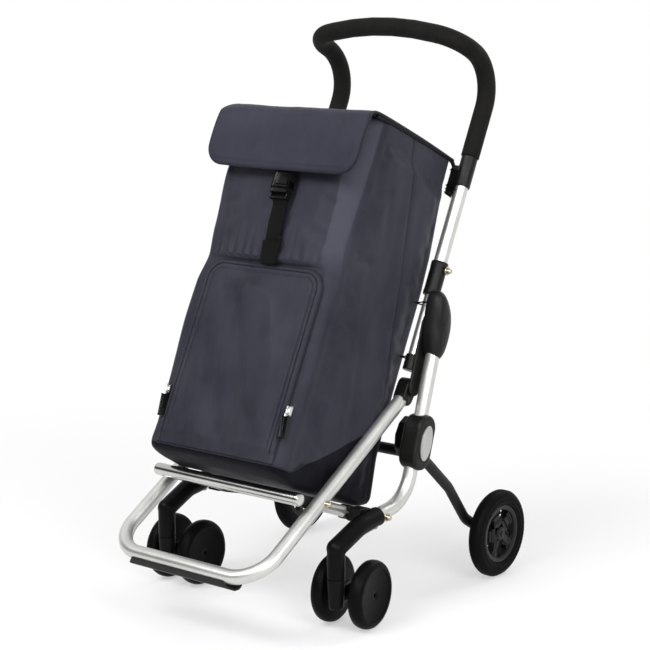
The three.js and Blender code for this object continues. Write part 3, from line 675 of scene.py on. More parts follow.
frame_tube("handle_tube", handle_line(HANDLE_LOW), HANDLE_BENDS, UPPER_RADIUS, "chassis")
grip = tube("grip_sleeve", handle_line(COLLAR_HIGH + 1), HANDLE_BENDS, GRIP_RADIUS, foam, 4, segments=48,
            edge=0.0025)
place(grip, "chassis", "handle_grip")
front = [side(x, *point) for x, point in ((FRONT_X, FRONT_TOP), (FRONT_X, FRONT_BAR), (-FRONT_X, FRONT_BAR),
                                          (-FRONT_X, FRONT_TOP))]
frame_tube("front_tube", front, (FRONT_BEND, FRONT_BEND), UPPER_RADIUS, "front_frame", segments=48)
bar_end = [(11, 157), (10.6, 160.4), (9.3, 162.6), (6.5, 163.7), (0, 163.7)]
bar = [(r, -x) for r, x in reversed(bar_end)] + bar_end
place(lathe("shelf_bar_polished", bar, side(0, *SHELF_BAR), ACROSS, bright_bar), "shelf", "shelf_bar")

for name, s in SIDES:
    axis = ACROSS * s
    back = [lean(s * BACK_X, 0, up) for up in BACK_TUBE_ENDS]
    frame_tube(f"back_tube_{name}", back, (), LOWER_RADIUS, "chassis")
    upper = [side(s * LEG_X, *point) for point in (REAR_HINGE, LEG_TOP)]
    frame_tube(f"upper_leg_{name}", upper, (), LEG_RADIUS, "legs")
    lower = [side(s * LEG_X, *point) for point in (REAR_HINGE, LEG_CORNER, LEG_KNEE, LEG_END)]
    frame_tube(f"lower_leg_{name}", lower, LEG_BENDS, LEG_RADIUS, "legs")
    rail = [side(s * RAIL_X, y, rail_height(y)) for y in (RAIL_START, RAIL_END[0])]
    frame_tube(f"shelf_rail_{name}", rail, (), RAIL_RADIUS, "shelf")
    r = SLEEVE_RADIUS
    sleeve = [(11.4, 0), (r - 0.8, 0), (r, 1.2), (r, 9), (r - 0.5, 9.6), (r - 0.5, 52), (r, 52.6), (r, 60.8),
              (r - 0.8, 62), (12.7, 62)]
    place(lathe(f"sleeve_moulding_{name}", sleeve, lean(s * BACK_X, 0, SLEEVE_LOW), UP, plastic), "chassis",
          f"tube_sleeve_{name}")
    dome_bolt("sleeve_bolt", name, lean(s * BACK_X, 0, SLEEVE_BOLT_UP), axis, "chassis", SLEEVE_RADIUS + 4)
    dome_bolt("leg_bolt", name, side(0, *FOOT_BOLT), axis, "legs", LEG_X + LEG_RADIUS - 1)
    dome_bolt("shelf_bolt", name, side(0, *SHELF_PIVOT), axis, "front_frame", FRONT_X + UPPER_RADIUS - 1)

    for cad in ("collar", "side_arm", "knee_end", "rail_bracket", "hinge_housing"):
        finish_cad(f"{cad}_{name}", plastic, 1.1, 10)
    finish_cad(f"caster_head_{name}", caster_plastic, 1.2, 16)
    finish_cad(f"rear_leg_{name}", plastic, 1.2, 12)
    shape = bmesh.new()
    domed_plate(shape, cut_corners(COVER, 3, True), [(s * x, inset) for x, inset in COVER_STATIONS])
    place(from_bmesh(f"leg_cover_shell_{name}", shape, plastic, 180), "legs", f"leg_cover_{name}")

    # The bracket cradles the bar from behind and below, and turns on the frame's bolt.
    shape = bmesh.new()
    bar_y, bar_z = SHELF_BAR
    neck = link_outline((bar_y + 4, bar_z - 3), (CRADLE_END, rail_height(CRADLE_END)), 9.5, 11)
    outline_prism(shape, neck, s * 128.5, s * 151, 2)
    outline_prism(shape, link_outline(SHELF_BAR, (bar_y + 16, bar_z - 8), 8.5, 9), s * 131, s * 149.5, 1.5)
    place(from_bmesh(f"bar_cradle_{name}", shape, plastic), "shelf", f"bar_bracket_{name}")

    leg_tilt = math.atan2(LEG_TOP[0] - LEG_CORNER[0], LEG_TOP[1] - LEG_CORNER[1])
    shape = bmesh.new()
    for half_y, half_z, x0, x1, ease in BADGE_LAYERS:
        outline_prism(shape, ellipse_outline(REAR_HINGE, half_y, half_z, -leg_tilt), s * x0, s * x1, ease)
    place(from_bmesh(f"badge_plate_{name}", shape, badge_silver), "legs", f"hinge_badge_{name}")

    # Webbing tab that hangs the bag's back edge from the collar.
    block_piece(f"collar_tab_{name}", webbing, "chassis", (),
                ((s * 152, 0, 352, 19, 20, 35, 4), (s * 150, 3, 334, 14, 15, 12, 4)), squash=False)
finish_cad("foot_plate", plastic, 1.1, 5)
finish_cad("hinge_crossbar", plastic, 1.2, 12)


# ---------- wheels ----------

def caster_axes(name, s):
    """A caster's axle direction and trailing direction, the foot of its post and the centre of its wheels."""
    angle = math.radians(CASTER_SWIVEL[name])
    axis = Vector((math.cos(angle), math.sin(angle), 0))
    back = Vector((-axis.y, axis.x, 0))
    post = side(s * CASTER_X, 0, 0)
    return axis, back, post, post + back * (CASTER_TRAIL * MM) + SKY * (CASTER_RADIUS * MM)


def caster_wheel(name, s, at):
    axis, _, _, hub = caster_axes(name, s)
    direction = axis * (s if at == "outer" else -s)
    r = CASTER_RADIUS
    profile = [(4.3, 0), (7, 0), (8, -1), (40, -1), (43, 0), (r - 9, 0), (r - 4.5, 1.2), (r - 1.6, 4),
               (r - 0.3, 8), (r, 12), (r - 0.1, 15), (r - 0.8, 18), (r - 2.5, 21.5), (r - 5.5, 24.3),
               (r - 9, 25.7), (r - 11.5, 26), (r - 12.6, 25.4), (r - 13.2, 24.2), (r - 14.5, 23.6),
               (12, 23.4), (5, 22.6), (3.2, 21.6), (2.6, 19.5), (0, 19.2), (0, 14.8), (4.3, 14.8)]
    tread = shifted(profile, CASTER_INNER)
    made = lathe(f"caster_tread_{name}_{at}", tread, hub, direction, wheel_rubber, 96)
    place(made, f"caster_wheel_{name}_{at}", f"caster_wheel_{name}_{at}")


def caster_fork(name, s):
    """The swivelling stem, and the web that carries the axle."""
    axis, back, post, hub = caster_axes(name, s)
    stem = [(0, 40), (6, 40), (10.5, 41.5), (12.5, 44.5), (13.2, 48), (15.4, 92.5), (15.1, 93.9), (14, 94.5),
            (6, 94.5), (6, 122), (0, 122)]
    web = [(0, -8), (11, -8), (12, -7), (12, 7), (11, 8), (0, 8)]
    axle = [(0, -38.2), (3.9, -38.2), (3.9, -23.5), (8, -23.4), (8, 23.4), (3.9, 23.5), (3.9, 38.2),
            (0, 38.2)]
    shape = merged([lathe("stem_part", stem, post, SKY, caster_plastic, 48),
                    lathe("web_part", web, hub, axis, caster_plastic, 40),
                    lathe("axle_part", axle, hub, axis, caster_plastic, 32)])
    middle = post + back * (CASTER_TRAIL * 0.5 * MM) + SKY * (CASTER_WEB_Z * MM)
    add_block(shape, middle, (14, 46, 30), (axis, back, SKY), 4)
    fork = from_bmesh(f"caster_fork_moulded_{name}", shape, caster_plastic)
    place(fork, f"caster_{name}", f"caster_fork_{name}")


def rear_wheel(name, s):
    centre, axis, body = side(0, *REAR_AT), ACROSS * s, f"rear_wheel_{name}"
    r, rim, low, width = REAR_RADIUS, REAR_RIM, REAR_LOW, REAR_HIGH - REAR_LOW
    section = [(rim + 1, 4), (rim + 4, 2.6), (r - 16, 1.2), (r - 9, 1.8), (r - 5, 3.6), (r - 2.2, 6.4),
               (r - 1, 9)]
    for rib in (11.2, 15, 18.8):
        section += [(r - 1.1, rib - 1.7), (r, rib - 1.1), (r, rib + 1.1), (r - 1.1, rib + 1.7)]
    section += [(r - 1, width - 9), (r - 2.2, width - 6.4), (r - 5, width - 3.6), (r - 9, width - 1.8),
                (r - 12, width - 1.2), (r - 14, width - 1.9), (r - 17, width - 1.9), (r - 19, width - 1.2),
                (rim + 4, width - 2.6), (rim + 1, width - 4)]
    tyre = lathe(f"tyre_{name}", shifted(section, low), centre, axis, tyre_rubber, 120, 30)
    place(tyre, body, f"rear_tyre_{name}")

    band = [(rim - 9, 6), (rim - 7, 4.6), (rim - 0.2, 4.6), (rim - 0.2, width - 4.6), (rim - 5, width - 4.6),
            (rim - 8, width - 6.5), (rim - 9, width - 9)]
    hub = [(5.4, 2), (11.5, 2), (13, 3), (13, width - 9), (12, width - 6), (9.5, width - 4.2),
           (5.4, width - 4.0)]
    shape = merged([lathe("part", shifted(part, low), centre, axis, plastic, 80) for part in (band, hub)])
    for i in range(REAR_SPOKES):
        angle = 2 * math.pi * i / REAR_SPOKES + REAR_SPOKE_START
        radial = Vector((0, -math.sin(angle), math.cos(angle)))
        axes = (axis, axis.cross(radial), radial)
        # The spoke itself, and its wider foot and head.
        for reach, size in ((28.5, (12.5, 13.5, 40)), (15, (14, 19, 16)), (43, (14, 21, 10))):
            at = centre + radial * (reach * MM) + axis * ((low + width * 0.5 - 0.5) * MM)
            add_block(shape, at, size, axes, 2.8)
    place(from_bmesh(f"rim_{name}", shape, plastic), body, f"rear_rim_{name}")
    cap = [(0, width - 8.5), (4.7, width - 8.5), (4.7, width - 4.4), (4.2, width - 3.2), (2.4, width - 2.4),
           (0, width - 2.2)]
    place(lathe(f"axle_cap_{name}", shifted(cap, low), centre, axis, gloss, 32), body)


for name, s in SIDES:
    caster_fork(name, s)
    caster_wheel(name, s, "outer")
    caster_wheel(name, s, "inner")
    rear_wheel(name, s)


# ---------- bag ----------

def box_grid(nx, ny, nz):
    """Points and quads on the skin of a unit box without its top; each point is its three shares."""
    index, points, quads = {}, [], []

    def quad(*corners):
        for i, j, k in corners:
            if (i, j, k) not in index:
                index[(i, j, k)] = len(points)
                points.append((i / nx, j / ny, k / nz))
        quads.append([index[corner] for corner in corners])

    for i in range(nx):
        for k in range(nz):
            for j in (0, ny):
                quad((i, j, k), (i + 1, j, k), (i + 1, j, k + 1), (i, j, k + 1))
    for j in range(ny):
        for k in range(nz):
            for i in (0, nx):
                quad((i, j, k), (i, j + 1, k), (i, j + 1, k + 1), (i, j, k + 1))
    for i in range(nx):
        for j in range(ny):
            quad((i, j, 0), (i + 1, j, 0), (i + 1, j + 1, 0), (i, j + 1, 0))
    return points, quads


def bag_point(a, b, c):
    """Leaning numbers of a point of the bag's skin from its shares across, out and up."""
    out_guess = lerp(0, 250, b)
    low = along(BAG_BOTTOM, out_guess)
    up = lerp(low, along(BAG_MOUTH, out_guess), c)
    back = along(BAG_BACK, up)
    depth = along(BAG_FRONT, up) - back
    x, y = lerp(-BAG_HALF, BAG_HALF, a), b * depth
    inset = BASE_ROUND - math.sqrt(max(0, BASE_ROUND ** 2 - max(0, BASE_ROUND - (up - low)) ** 2))
    front_radius = lerp(*CORNER_NEAR, smooth_step(96, 150, up)) if a > 0.5 else CORNER_FAR
    radius = lerp(CORNER_BACK, front_radius, smooth_step(0.3, 0.7, b))
    corner_x, corner_y = BAG_HALF - radius, (radius if b < 0.5 else depth - radius)
    dx = abs(x) - corner_x
    dy = (corner_y - y) if b < 0.5 else (y - corner_y)
    if dx > 0 and dy > 0:
        # Halfway between a quarter circle and a flat chamfer.
        keep = 0.5 * max(dx, dy) / math.hypot(dx, dy) + 0.5 * max(dx, dy) / (dx + dy)
        x = math.copysign(corner_x + dx * keep, x)
        y = corner_y - dy * keep if b < 0.5 else corner_y + dy * keep
    x *= (BAG_HALF - inset) / BAG_HALF
    y = depth / 2 + (y - depth / 2) * (depth / 2 - inset) / (depth / 2)
    return x, back + y, up


def relax_cloth(made, pinned):
    """Swells the cloth under pressure, and keeps each free point's travel, cut off at CLOTH_TRAVEL."""
    group = made.vertex_groups.new(name="pinned")
    for i, weight in enumerate(pinned):
        if weight > 0:
            group.add([i], weight, "REPLACE")
    cloth = made.modifiers.new("cloth", "CLOTH")
    for key, value in CLOTH_SETTINGS.items():
        setattr(cloth.settings, key, value)
    cloth.settings.effector_weights.gravity = 0
    cloth.collision_settings.use_collision = False
    cloth.point_cache.frame_start, cloth.point_cache.frame_end = 1, CLOTH_FRAMES
    scene = bpy.context.scene
    for number in range(1, CLOTH_FRAMES + 1):
        scene.frame_set(number)
    graph = bpy.context.evaluated_depsgraph_get()
    moved = [v.co.copy() for v in made.evaluated_get(graph).data.vertices]
    made.modifiers.clear()
    scene.frame_set(1)
    for v, new, weight in zip(made.data.vertices, moved, pinned):
        travel = new - v.co
        if travel.length > CLOTH_TRAVEL:
            travel *= CLOTH_TRAVEL / travel.length
        v.co += travel * (1 - weight)


def bag_hold(x, out, up):
    """How firmly the skin is held: fully at mouth and base, largely along the back and the front corners."""
    hold = max(smooth_step(325, 362, up), 1 - smooth_step(-246, -215, up))
    corner = smooth_step(110, 125, abs(x)) * smooth_step(205, 225, out)
    return max(hold, 0.75 if out < 20 else 0.85 * corner)


def bag_folds(x, out, up):
    """How far folds and seams move a point of the bag's skin across and out, in millimetres."""
    free = 1 - 0.8 * bag_hold(0, out, up)
    outward = math.copysign(1, x)
    side_wall, front_wall = smooth_step(120, 145, abs(x)), smooth_step(200, 240, out)
    # Long soft folds down the side panels, fading towards the top and the base.
    across = side_wall * free * 3.4 * fold_noise((out + up * 0.12) / 58, up / 240, 0, 1) * outward
    across += side_wall * free * 1.7 * fold_noise((out - up * 0.25) / 20, up / 150, 0, 2) * outward
    # Side seam: a shallow stitched groove.
    seam = SIDE_SEAM_OUT + (up - SIDE_SEAM_UP) * SIDE_SEAM_LEAN
    across -= side_wall * 1.3 * hump(out - seam, 3.0) * outward
    forward = 0.0
    if up > 96:
        # Gathers above the pocket, flatter behind the strap, and broad drapes over the front.
        gather = math.exp(-(up - 94) / 17) * (1 - smooth_step(105, 140, abs(x)))
        gather *= 1 - 0.8 * hump(x - STRAP_X, 18)
        pleat = 0.5 + 0.5 * math.sin(x / 2.9 + 2.2 * fold_noise(x / 26, up / 40, 0, 3))
        forward += front_wall * 10.0 * gather * pleat ** 1.6 * (0.6 + fold_noise(x / 30, 0.3, 0, 11))
        forward += front_wall * free * 4.0 * fold_noise(x / 75, up / 80, 0, 4)
        forward += front_wall * free * 1.6 * fold_noise((x + up * 0.3) / 28, up / 60, 0, 12)
        # The far corner above the pocket sags forward.
        forward += front_wall * free * 5 * smooth_step(60, 140, -x) * smooth_step(100, 150, up)
    # Behind the pocket the skin stays back.
    if abs(x) < POCKET_HALF + 6 and POCKET_LOW - 1 < up < POCKET_HIGH + 6 and out > 230:
        forward = min(0, POCKET_OUT - 1.2 - out)
    if x < -100 and out > 150:
        # The far front edge bulges, most of all beside the top of the pocket.
        across -= 4.5 * smooth_step(-246, -180, up) * free * smooth_step(150, 250, out)
        across -= 9 * smooth_step(-200, 10, up) * (1 - smooth_step(45, 105, up)) * smooth_step(170, 245, out)
        # The stiff base board pushes the far front corner out a little.
        across -= 6 * hump(up + 240, 22) * smooth_step(150, 235, out)
    # The front stays behind the flap, and further back behind the buckle.
    limit = 262 if abs(x - STRAP_X) < 22 else 266
    if out + forward > limit and abs(x) < 130 and up > 96:
        forward -= 0.75 * (out + forward - limit)
    return across, forward


def build_bag():
    points, quads = box_grid(*BAG_GRID)
    numbers = [bag_point(*p) for p in points]
    made = from_lists("bag_shell", [lean(*n) for n in numbers], quads, fabric, 180)
    relax_cloth(made, [bag_hold(*n) for n in numbers])
    finer = made.modifiers.new("finer", "SUBSURF")
    finer.levels = finer.render_levels = 1
    apply_modifiers(made)
    for v in made.data.vertices:
        across, forward = bag_folds(*leaning_numbers(v.co))
        v.co += ACROSS * (across * MM) + OUT * (forward * MM)
    store_rest(made)
    thickness = made.modifiers.new("thickness", "SOLIDIFY")
    thickness.thickness, thickness.offset = BAG_CLOTH, -1
    apply_modifiers(made)
    made.data.materials.clear()
    made.data.materials.append(bag_material())
    place(made, "chassis", "bag_body", slot="fabric")
    squash_with_bag(made)


def bag_material():
    """The bag's cloth, with the dark base panel below a sloping seam and a stitched seam on each side."""
    material = fabric.copy()
    material.name = "bag_cloth"
    tree, bsdf = material.node_tree, shader_of(material)
    rest = node(tree, "Attribute", attribute_name="rest").outputs["Vector"]
    x, out, up = node(tree, "SeparateXYZ", {0: rest}).outputs
    origin = lean(0, 0, 0)
    out = minus(tree, out, origin.dot(OUT))
    up = minus(tree, up, origin.dot(UP))
    climb = times(tree, minus(tree, BASE_CORNER * MM, out), BASE_SLOPE)
    seam = math_node(tree, "ADD", math_node(tree, "MAXIMUM", climb), BASE_SEAM * MM)
    below = math_node(tree, "LESS_THAN", up, seam)
    cloth = bsdf.inputs["Base Color"].links[0].from_socket
    color = mix_color(tree, below, cloth, (0.0042, 0.0040, 0.0065, 1))
    dull = node(tree, "MapRange", {"Value": below, "To Min": 0.17, "To Max": 0.05}).outputs[0]
    # Painted highlight: the near front corner above the pocket is painted paler, where light glances off the
    # cloth.
    band = times(tree, soft_range(tree, x, 106 * MM, 110 * MM), soft_range(tree, out, 231 * MM, 235 * MM))
    band = times(tree, times(tree, band, soft_range(tree, up, 85 * MM, 140 * MM)), 0.62)
    color = mix_color(tree, band, color, (0.060, 0.060, 0.082, 1))
    run = times(tree, minus(tree, up, SIDE_SEAM_UP * MM), SIDE_SEAM_LEAN)
    away = math_node(tree, "ABSOLUTE", minus(tree, minus(tree, out, run), SIDE_SEAM_OUT * MM))
    on_side = math_node(tree, "GREATER_THAN", math_node(tree, "ABSOLUTE", x), 130 * MM)
    line = times(tree, times(tree, math_node(tree, "LESS_THAN", away, 1.2 * MM), on_side), 0.8)
    color = mix_color(tree, line, color, (0.004, 0.004, 0.006, 1))
    connect(tree, bsdf, Base_Color=color, Specular_IOR_Level=dull)
    return material


def surface_band(name, path, radius, material, squash=True, flat=1.0, segments=12):
    """Piping or cord along leaning points."""
    points = [lean(*p) for p in path]
    made = sweep(name, points, headings(points), radius * MM, material, segments, flat)
    place_soft(made, "chassis", squash=squash)


build_bag()
left_run = [(145.5, out, BASE_SEAM + BASE_SLOPE * max(0, BASE_CORNER - out)) for out in range(228, -4, -8)]
left_run = [(128, 250, BASE_SEAM), (138, 245, BASE_SEAM), (143.5, 237, BASE_SEAM)] + left_run
base_front = [(x, 251.5, BASE_SEAM) for x in range(-118, 119, 8)]
piping = [(-x, out, up) for x, out, up in reversed(left_run)] + base_front + left_run
surface_band("base_piping", piping, 1.5, piping_fabric)

# The stiff floor follows the slope of the bag's bottom.
board_axes = (ACROSS, OUT * 0.9966 - UP * 0.082, UP * 0.9966 + OUT * 0.082)
board = ((0, 105, -254, 262, 176, 3, 1),)
block_piece("base_board", plastic, "chassis", ("bag_base_board",), board, board_axes, slot="board")


# ---------- pocket with its zip ----------

def grid_faces(nx, nz, start=0):
    """Quads of a grid whose points are listed row by row."""
    corners = [start + k * (nx + 1) + i for k in range(nz) for i in range(nx)]
    return [(a, a + 1, a + nx + 2, a + nx + 1) for a in corners]


def grid_rim(nx, nz):
    """The numbers of a grid's outer points, once around."""
    right = [k * (nx + 1) + nx for k in range(1, nz + 1)]
    far = [nz * (nx + 1) + i for i in range(nx - 1, -1, -1)]
    return list(range(nx + 1)) + right + far + [k * (nx + 1) for k in range(nz - 1, 0, -1)]


def round_corner(x, z, half, top, corner):
    """Pulls a point of a rectangle's far corners in to a quarter circle."""
    dx, dz = abs(x) - (half - corner), z - (top - corner)
    if dx <= 0 or dz <= 0:
        return x, z
    keep = max(dx, dz) / math.hypot(dx, dz)
    return math.copysign(half - corner + dx * keep, x), top - corner + dz * keep


def pocket_rise(x, up, edge):
    """How far the pocket's cloth stands off the bag at a distance from its rounded edge."""
    rise = 7.0 * math.sin(min(1, edge / 6) * math.pi / 2)
    rise -= 1.6 * hump(edge - ZIP_INSET, 1.5)
    rise -= 1.3 * hump(edge - 18, 1.6)
    rise += 3.2 * (1 - math.exp(-max(0, edge - 18) / 34)) * smooth_step(POCKET_LOW - 20, POCKET_LOW + 60, up)
    # The cloth hangs loose: a broad diagonal crease and softer drapes beside it.
    loose = smooth_step(18, 60, edge)
    crease = x * 0.9 + 0.42 * (up - 20)
    rise += loose * 13.0 * hump(crease, 20 if crease < 0 else 62) * smooth_step(-235, -120, up)
    rise += loose * 7.0 * fold_noise((x + 0.45 * up) / 62, up / 230, 0, 5)
    rise += loose * 3.4 * fold_noise((x + 0.2 * up) / 34, up / 90, 0, 6)
    rise += smooth_step(26, 16, edge) * 0.5 * fold_noise(x / 9, up / 9, 0, 7)
    rise = 0.8 + (rise - 0.8) * lerp(0.12, 1, smooth_step(0, 26, up - POCKET_LOW))
    # The drape stays behind the buckle when the bag is collapsed.
    if rise > 19:
        rise = 19 + 0.2 * (rise - 19)
    return max(rise, 0.2 if edge > 0 else 0)


def build_pocket():
    nx, nz = POCKET_GRID
    points = []
    for k in range(nz + 1):
        for i in range(nx + 1):
            x, up = lerp(-POCKET_HALF, POCKET_HALF, i / nx), lerp(POCKET_LOW, POCKET_HIGH, k / nz)
            edge = min(POCKET_HALF - abs(x), POCKET_HIGH - up)
            x, up = round_corner(x, up, POCKET_HALF, POCKET_HIGH, POCKET_CORNER)
            points.append(lean(x, POCKET_OUT + pocket_rise(x, up, edge), up))
    rim, start = grid_rim(nx, nz), len(points)
    for i in rim:
        x, _, up = leaning_numbers(points[i])
        points.append(lean(x, POCKET_OUT - 0.4, up))
    faces = grid_faces(nx, nz)
    for i, a in enumerate(rim):
        j = (i + 1) % len(rim)
        faces.append((a, start + i, start + j, rim[j]))
    faces.append(tuple(range(start, start + len(rim))))
    place_soft(from_lists("pocket_panel", points, faces, fabric, 180), "chassis", "bag_pocket")


def pocket_line(inset, out, step=5, turn_steps=12):
    """Points at a distance in from the pocket's edge, up one side, over the top and down the other."""
    half, high, r = POCKET_HALF - inset, POCKET_HIGH - inset, max(4, POCKET_CORNER - inset)
    turns = [math.pi / 2 * k / turn_steps for k in range(turn_steps + 1)]
    path = [(half, out, up) for up in range(-226, int(high - r), step)]
    path += [(half - r + r * math.cos(t), out, high - r + r * math.sin(t)) for t in turns]
    path += [(x, out, high) for x in range(int(half - r) - step, -int(half - r), -step)]
    path += [(-half + r - r * math.sin(t), out, high - r + r * math.cos(t)) for t in turns]
    return path + [(-half, out, up) for up in range(int(high - r) - step, -227, -step)]


build_pocket()
surface_band("pocket_zip_coil", pocket_line(ZIP_INSET, ZIP_OUT), 1.0, binding_fabric, segments=8)
surface_band("pocket_edge_piping", pocket_line(PIPING_INSET, PIPING_OUT), 1.3, piping_fabric, segments=8)


# ---------- lid and flap ----------

def build_lid():
    path = cut_corners(LID_PATH)
    lengths = [0.0]
    for a, b in zip(path, path[1:]):
        lengths.append(lengths[-1] + math.dist(a, b))
    total = lengths[-1]
    outs, ups = [list(zip(lengths, numbers)) for numbers in zip(*path)]
    nt, ns = LID_GRID

    def station(run):
        """Out and up of the lid's path after a run along it."""
        return along(outs, run), along(ups, run)

    def lid_point(t, run, under):
        """A point on the lid's top or underside: t goes from -1 to 1 across, run starts at the back edge."""
        out, up = station(run)
        on_flap = 1 - smooth_step(345, 372, up)
        half = lerp(*LID_HALF, smooth_step(40, 250, out))
        half = lerp(half, FLAP_HALF_NEAR if t > 0 else FLAP_HALF_FAR, on_flap)
        edge = min(half - abs(t * half), total - run, run + 30)
        x, rounded_run = round_corner(t * half, run, half, total, LID_CORNER)
        out, up = station(rounded_run)
        (o1, u1), (o2, u2) = station(run - 1), station(run + 1)
        heading = Vector((o2 - o1, u2 - u1)).normalized()
        thick = 1.6 + lerp(0.6, 2.4, on_flap) * math.sin(min(1, max(0, edge) / 9) * math.pi / 2)
        lift = -thick if under else thick - 0.9 * hump(edge - 7.5, 1.3)
        lift += 1.5 * fold_noise(x / 70, run / 55, 0, 8) * smooth_step(4, 40, edge)
        lift += 0.7 * fold_noise(x / 24, run / 30, 0, 9) * smooth_step(4, 30, edge)
        # The panel bows down in its middle, and the flap's far side flares out.
        lift -= 1.8 * smooth_step(40, 140, out) * (1 - smooth_step(200, 290, out)) * (1 - (x / 150) ** 2)
        lift += 8 * on_flap * smooth_step(60, 158, -x)
        return lean(x, out - heading.y * lift, up + heading.x * lift)

    def outline(rows):
        """The lid's edge from its back corner round the flap to the other back corner."""
        line = [rows[k][0] for k in range(0, ns + 1, 2)]
        line += [rows[ns][i] for i in range(2, nt - 1, 2)]
        return line + [rows[k][nt] for k in range(ns, -1, -2)]

    grids = [[[lid_point(lerp(-1, 1, i / nt), total * k / ns, under) for i in range(nt + 1)]
              for k in range(ns + 1)] for under in (False, True)]
    points = [point for rows in grids for row in rows for point in row]
    size, rim = len(points) // 2, grid_rim(nt, ns)
    faces = grid_faces(nt, ns) + grid_faces(nt, ns, size)
    faces += [(a, b, size + b, size + a) for a, b in zip(rim, rim[1:] + rim[:1])]
    place_soft(from_lists("lid_and_flap", points, faces, flap_fabric, 180), "lid", "bag_lid", squash=False)
    middle = [(p + q) / 2 for p, q in zip(*[outline(rows) for rows in grids])]
    binding = sweep("lid_edge_binding", middle, headings(middle), 0.0024, piping_fabric, 12)
    place_soft(binding, "lid", squash=False)


build_lid()

# Dark rails along the sides of the mouth, which the lid closes on.
for name, s in SIDES:
    mouth = [(s * 146.0, out, up) for out, up in ((14, 376), (20, 381), (30, 382.5), (60, 381.5), (120, 379),
                                                 (180, 375.5), (230, 371.5), (262, 367.5))]
    surface_band(f"mouth_rail_{name}", cut_corners(mouth), 3.6, binding_fabric, False, 0.8, 16)


# ---------- strap, buckle, zip sliders and ties ----------

def strap_middle(up):
    """Where the strap runs across the bag: it drifts to the near side further down."""
    return STRAP_X + 3 * (1 - smooth_step(95, 190, up))


def ribbon(name, path, width, thickness, body="chassis"):
    """Flat webbing across X that follows a line of (out, up) points, a little thinner at its edges."""
    points = []
    path = cut_corners(path, 3)
    half = width / 2
    section = ((-half, 1), (-half + 0.8, 1.25), (half - 0.8, 1.25), (half, 1))
    section += tuple((x, -lift) for x, lift in reversed(section))
    for i, (out, up) in enumerate(path):
        (o1, u1), (o2, u2) = path[max(0, i - 1)], path[min(len(path) - 1, i + 1)]
        heading = Vector((o2 - o1, u2 - u1)).normalized() * (thickness * 0.4)
        points += [lean(strap_middle(up) + x, out + heading.y * lift, up - heading.x * lift)
                   for x, lift in section]
    made = from_lists(name, points, tube_faces(len(path), len(section)), webbing, 30)
    place_soft(made, body, squash=body == "chassis", slot="plastic")


ribbon("closing_strap", ((278, 211), (277.5, 203), (272.4, 193), (271.8, 184), (270.5, 160), (268.5, 140),
                         (266.5, 122), (264.5, 106), (262.5, 88)), 31, 1.7)
ribbon("strap_patch", ((270.6, 128), (268.4, 116), (266.4, 104), (264.6, 90)), 36, 1.8)
ribbon("strap_top", ((279.5, 262), (281, 250), (281.3, 236)), 31, 1.6, "lid")
# The strap's loose end: a short folded tongue that stands out beside the patch.
loose_end = [(19, 270, 138), (25, 273, 134), (29, 272, 127), (27, 269, 118), (24.5, 267.5, 108),
             (24, 266, 94)]
surface_band("strap_loose_end", cut_corners(loose_end), 2.2, webbing, flat=0.5)

socket = ((STRAP_X, 280, 237, 37, 10.5, 34, 2.8), (STRAP_X, 285.2, 236, 24, 2, 20, 0.9),
          (STRAP_X + 16.2, 280, 222, 4.6, 9.5, 20, 1.4), (STRAP_X - 16.2, 280, 222, 4.6, 9.5, 20, 1.4),
          (STRAP_X, 283.8, 221, 32, 2.4, 18, 0.8))
block_piece("buckle_female", gloss, "lid", ("buckle_socket",), socket, squash=False)
tongue = [(STRAP_X, 278.5, 212, 37, 8.8, 4, 1), (STRAP_X, 278.5, 203, 37, 8.8, 4, 1)]
for s in (1, -1):
    tongue += [(STRAP_X + s * 17, 278.5, 207.5, 3.2, 8.8, 12.5, 1),
               (STRAP_X + s * 11, 278, 222, 4.2, 4.2, 20, 1.4)]
tongue.append((STRAP_X, 278, 221, 5, 3.4, 18, 1))
block_piece("buckle_male", gloss, "buckle_tongue", ("buckle_tongue",), tongue)

for name, s in SIDES:
    x, body = s * ZIP_X, f"zip_slider_{name}"
    slider = ((x, 253.6, -151.5, 8.5, 3.6, 13.5, 1.3), (x, 256.6, -152, 3, 3.4, 9, 1.1),
              (x, 257, -160, 6.2, 1.8, 10, 0.8))
    block_piece(f"zip_body_{name}", zip_metal, body, (body,), slider)
    # The pull hangs a little askew.
    pull = ((x + 2, 257, -180, 13.5, 3.4, 36, 1.4), (x + 1.3, 258.8, -175, 3.2, 1.4, 22, 0.6))
    hang = (ACROSS + UP * 0.14, OUT, UP - ACROSS * 0.14)
    block_piece(f"zip_pull_{name}", gloss, body, (), pull, hang)
    for i, height in enumerate(TIE_HEIGHTS):
        loop = [(s * x, out, height + rise) for x, out, rise in TIE]
        surface_band(f"tie_{name}_{i}", cut_corners(loop), 1.3, webbing, False, segments=10)


# ---------- floor, light and camera ----------

def show(name, data):
    made = bpy.data.objects.new(name, data)
    bpy.context.scene.collection.objects.link(made)
    return made


def aim(made, location, direction):
    made.location = location
    made.rotation_mode = "QUATERNION"
    made.rotation_quaternion = direction.to_track_quat("-Z", "Y")


def area_light(name, location, target, size, power, diffuse=True):
    light = bpy.data.lights.new(name, "AREA")
    light.shape = "RECTANGLE"
    light.size, light.size_y = size
    light.energy = power
    made = show(name, light)
    aim(made, location, Vector(target) - Vector(location))
    made.visible_diffuse = diffuse


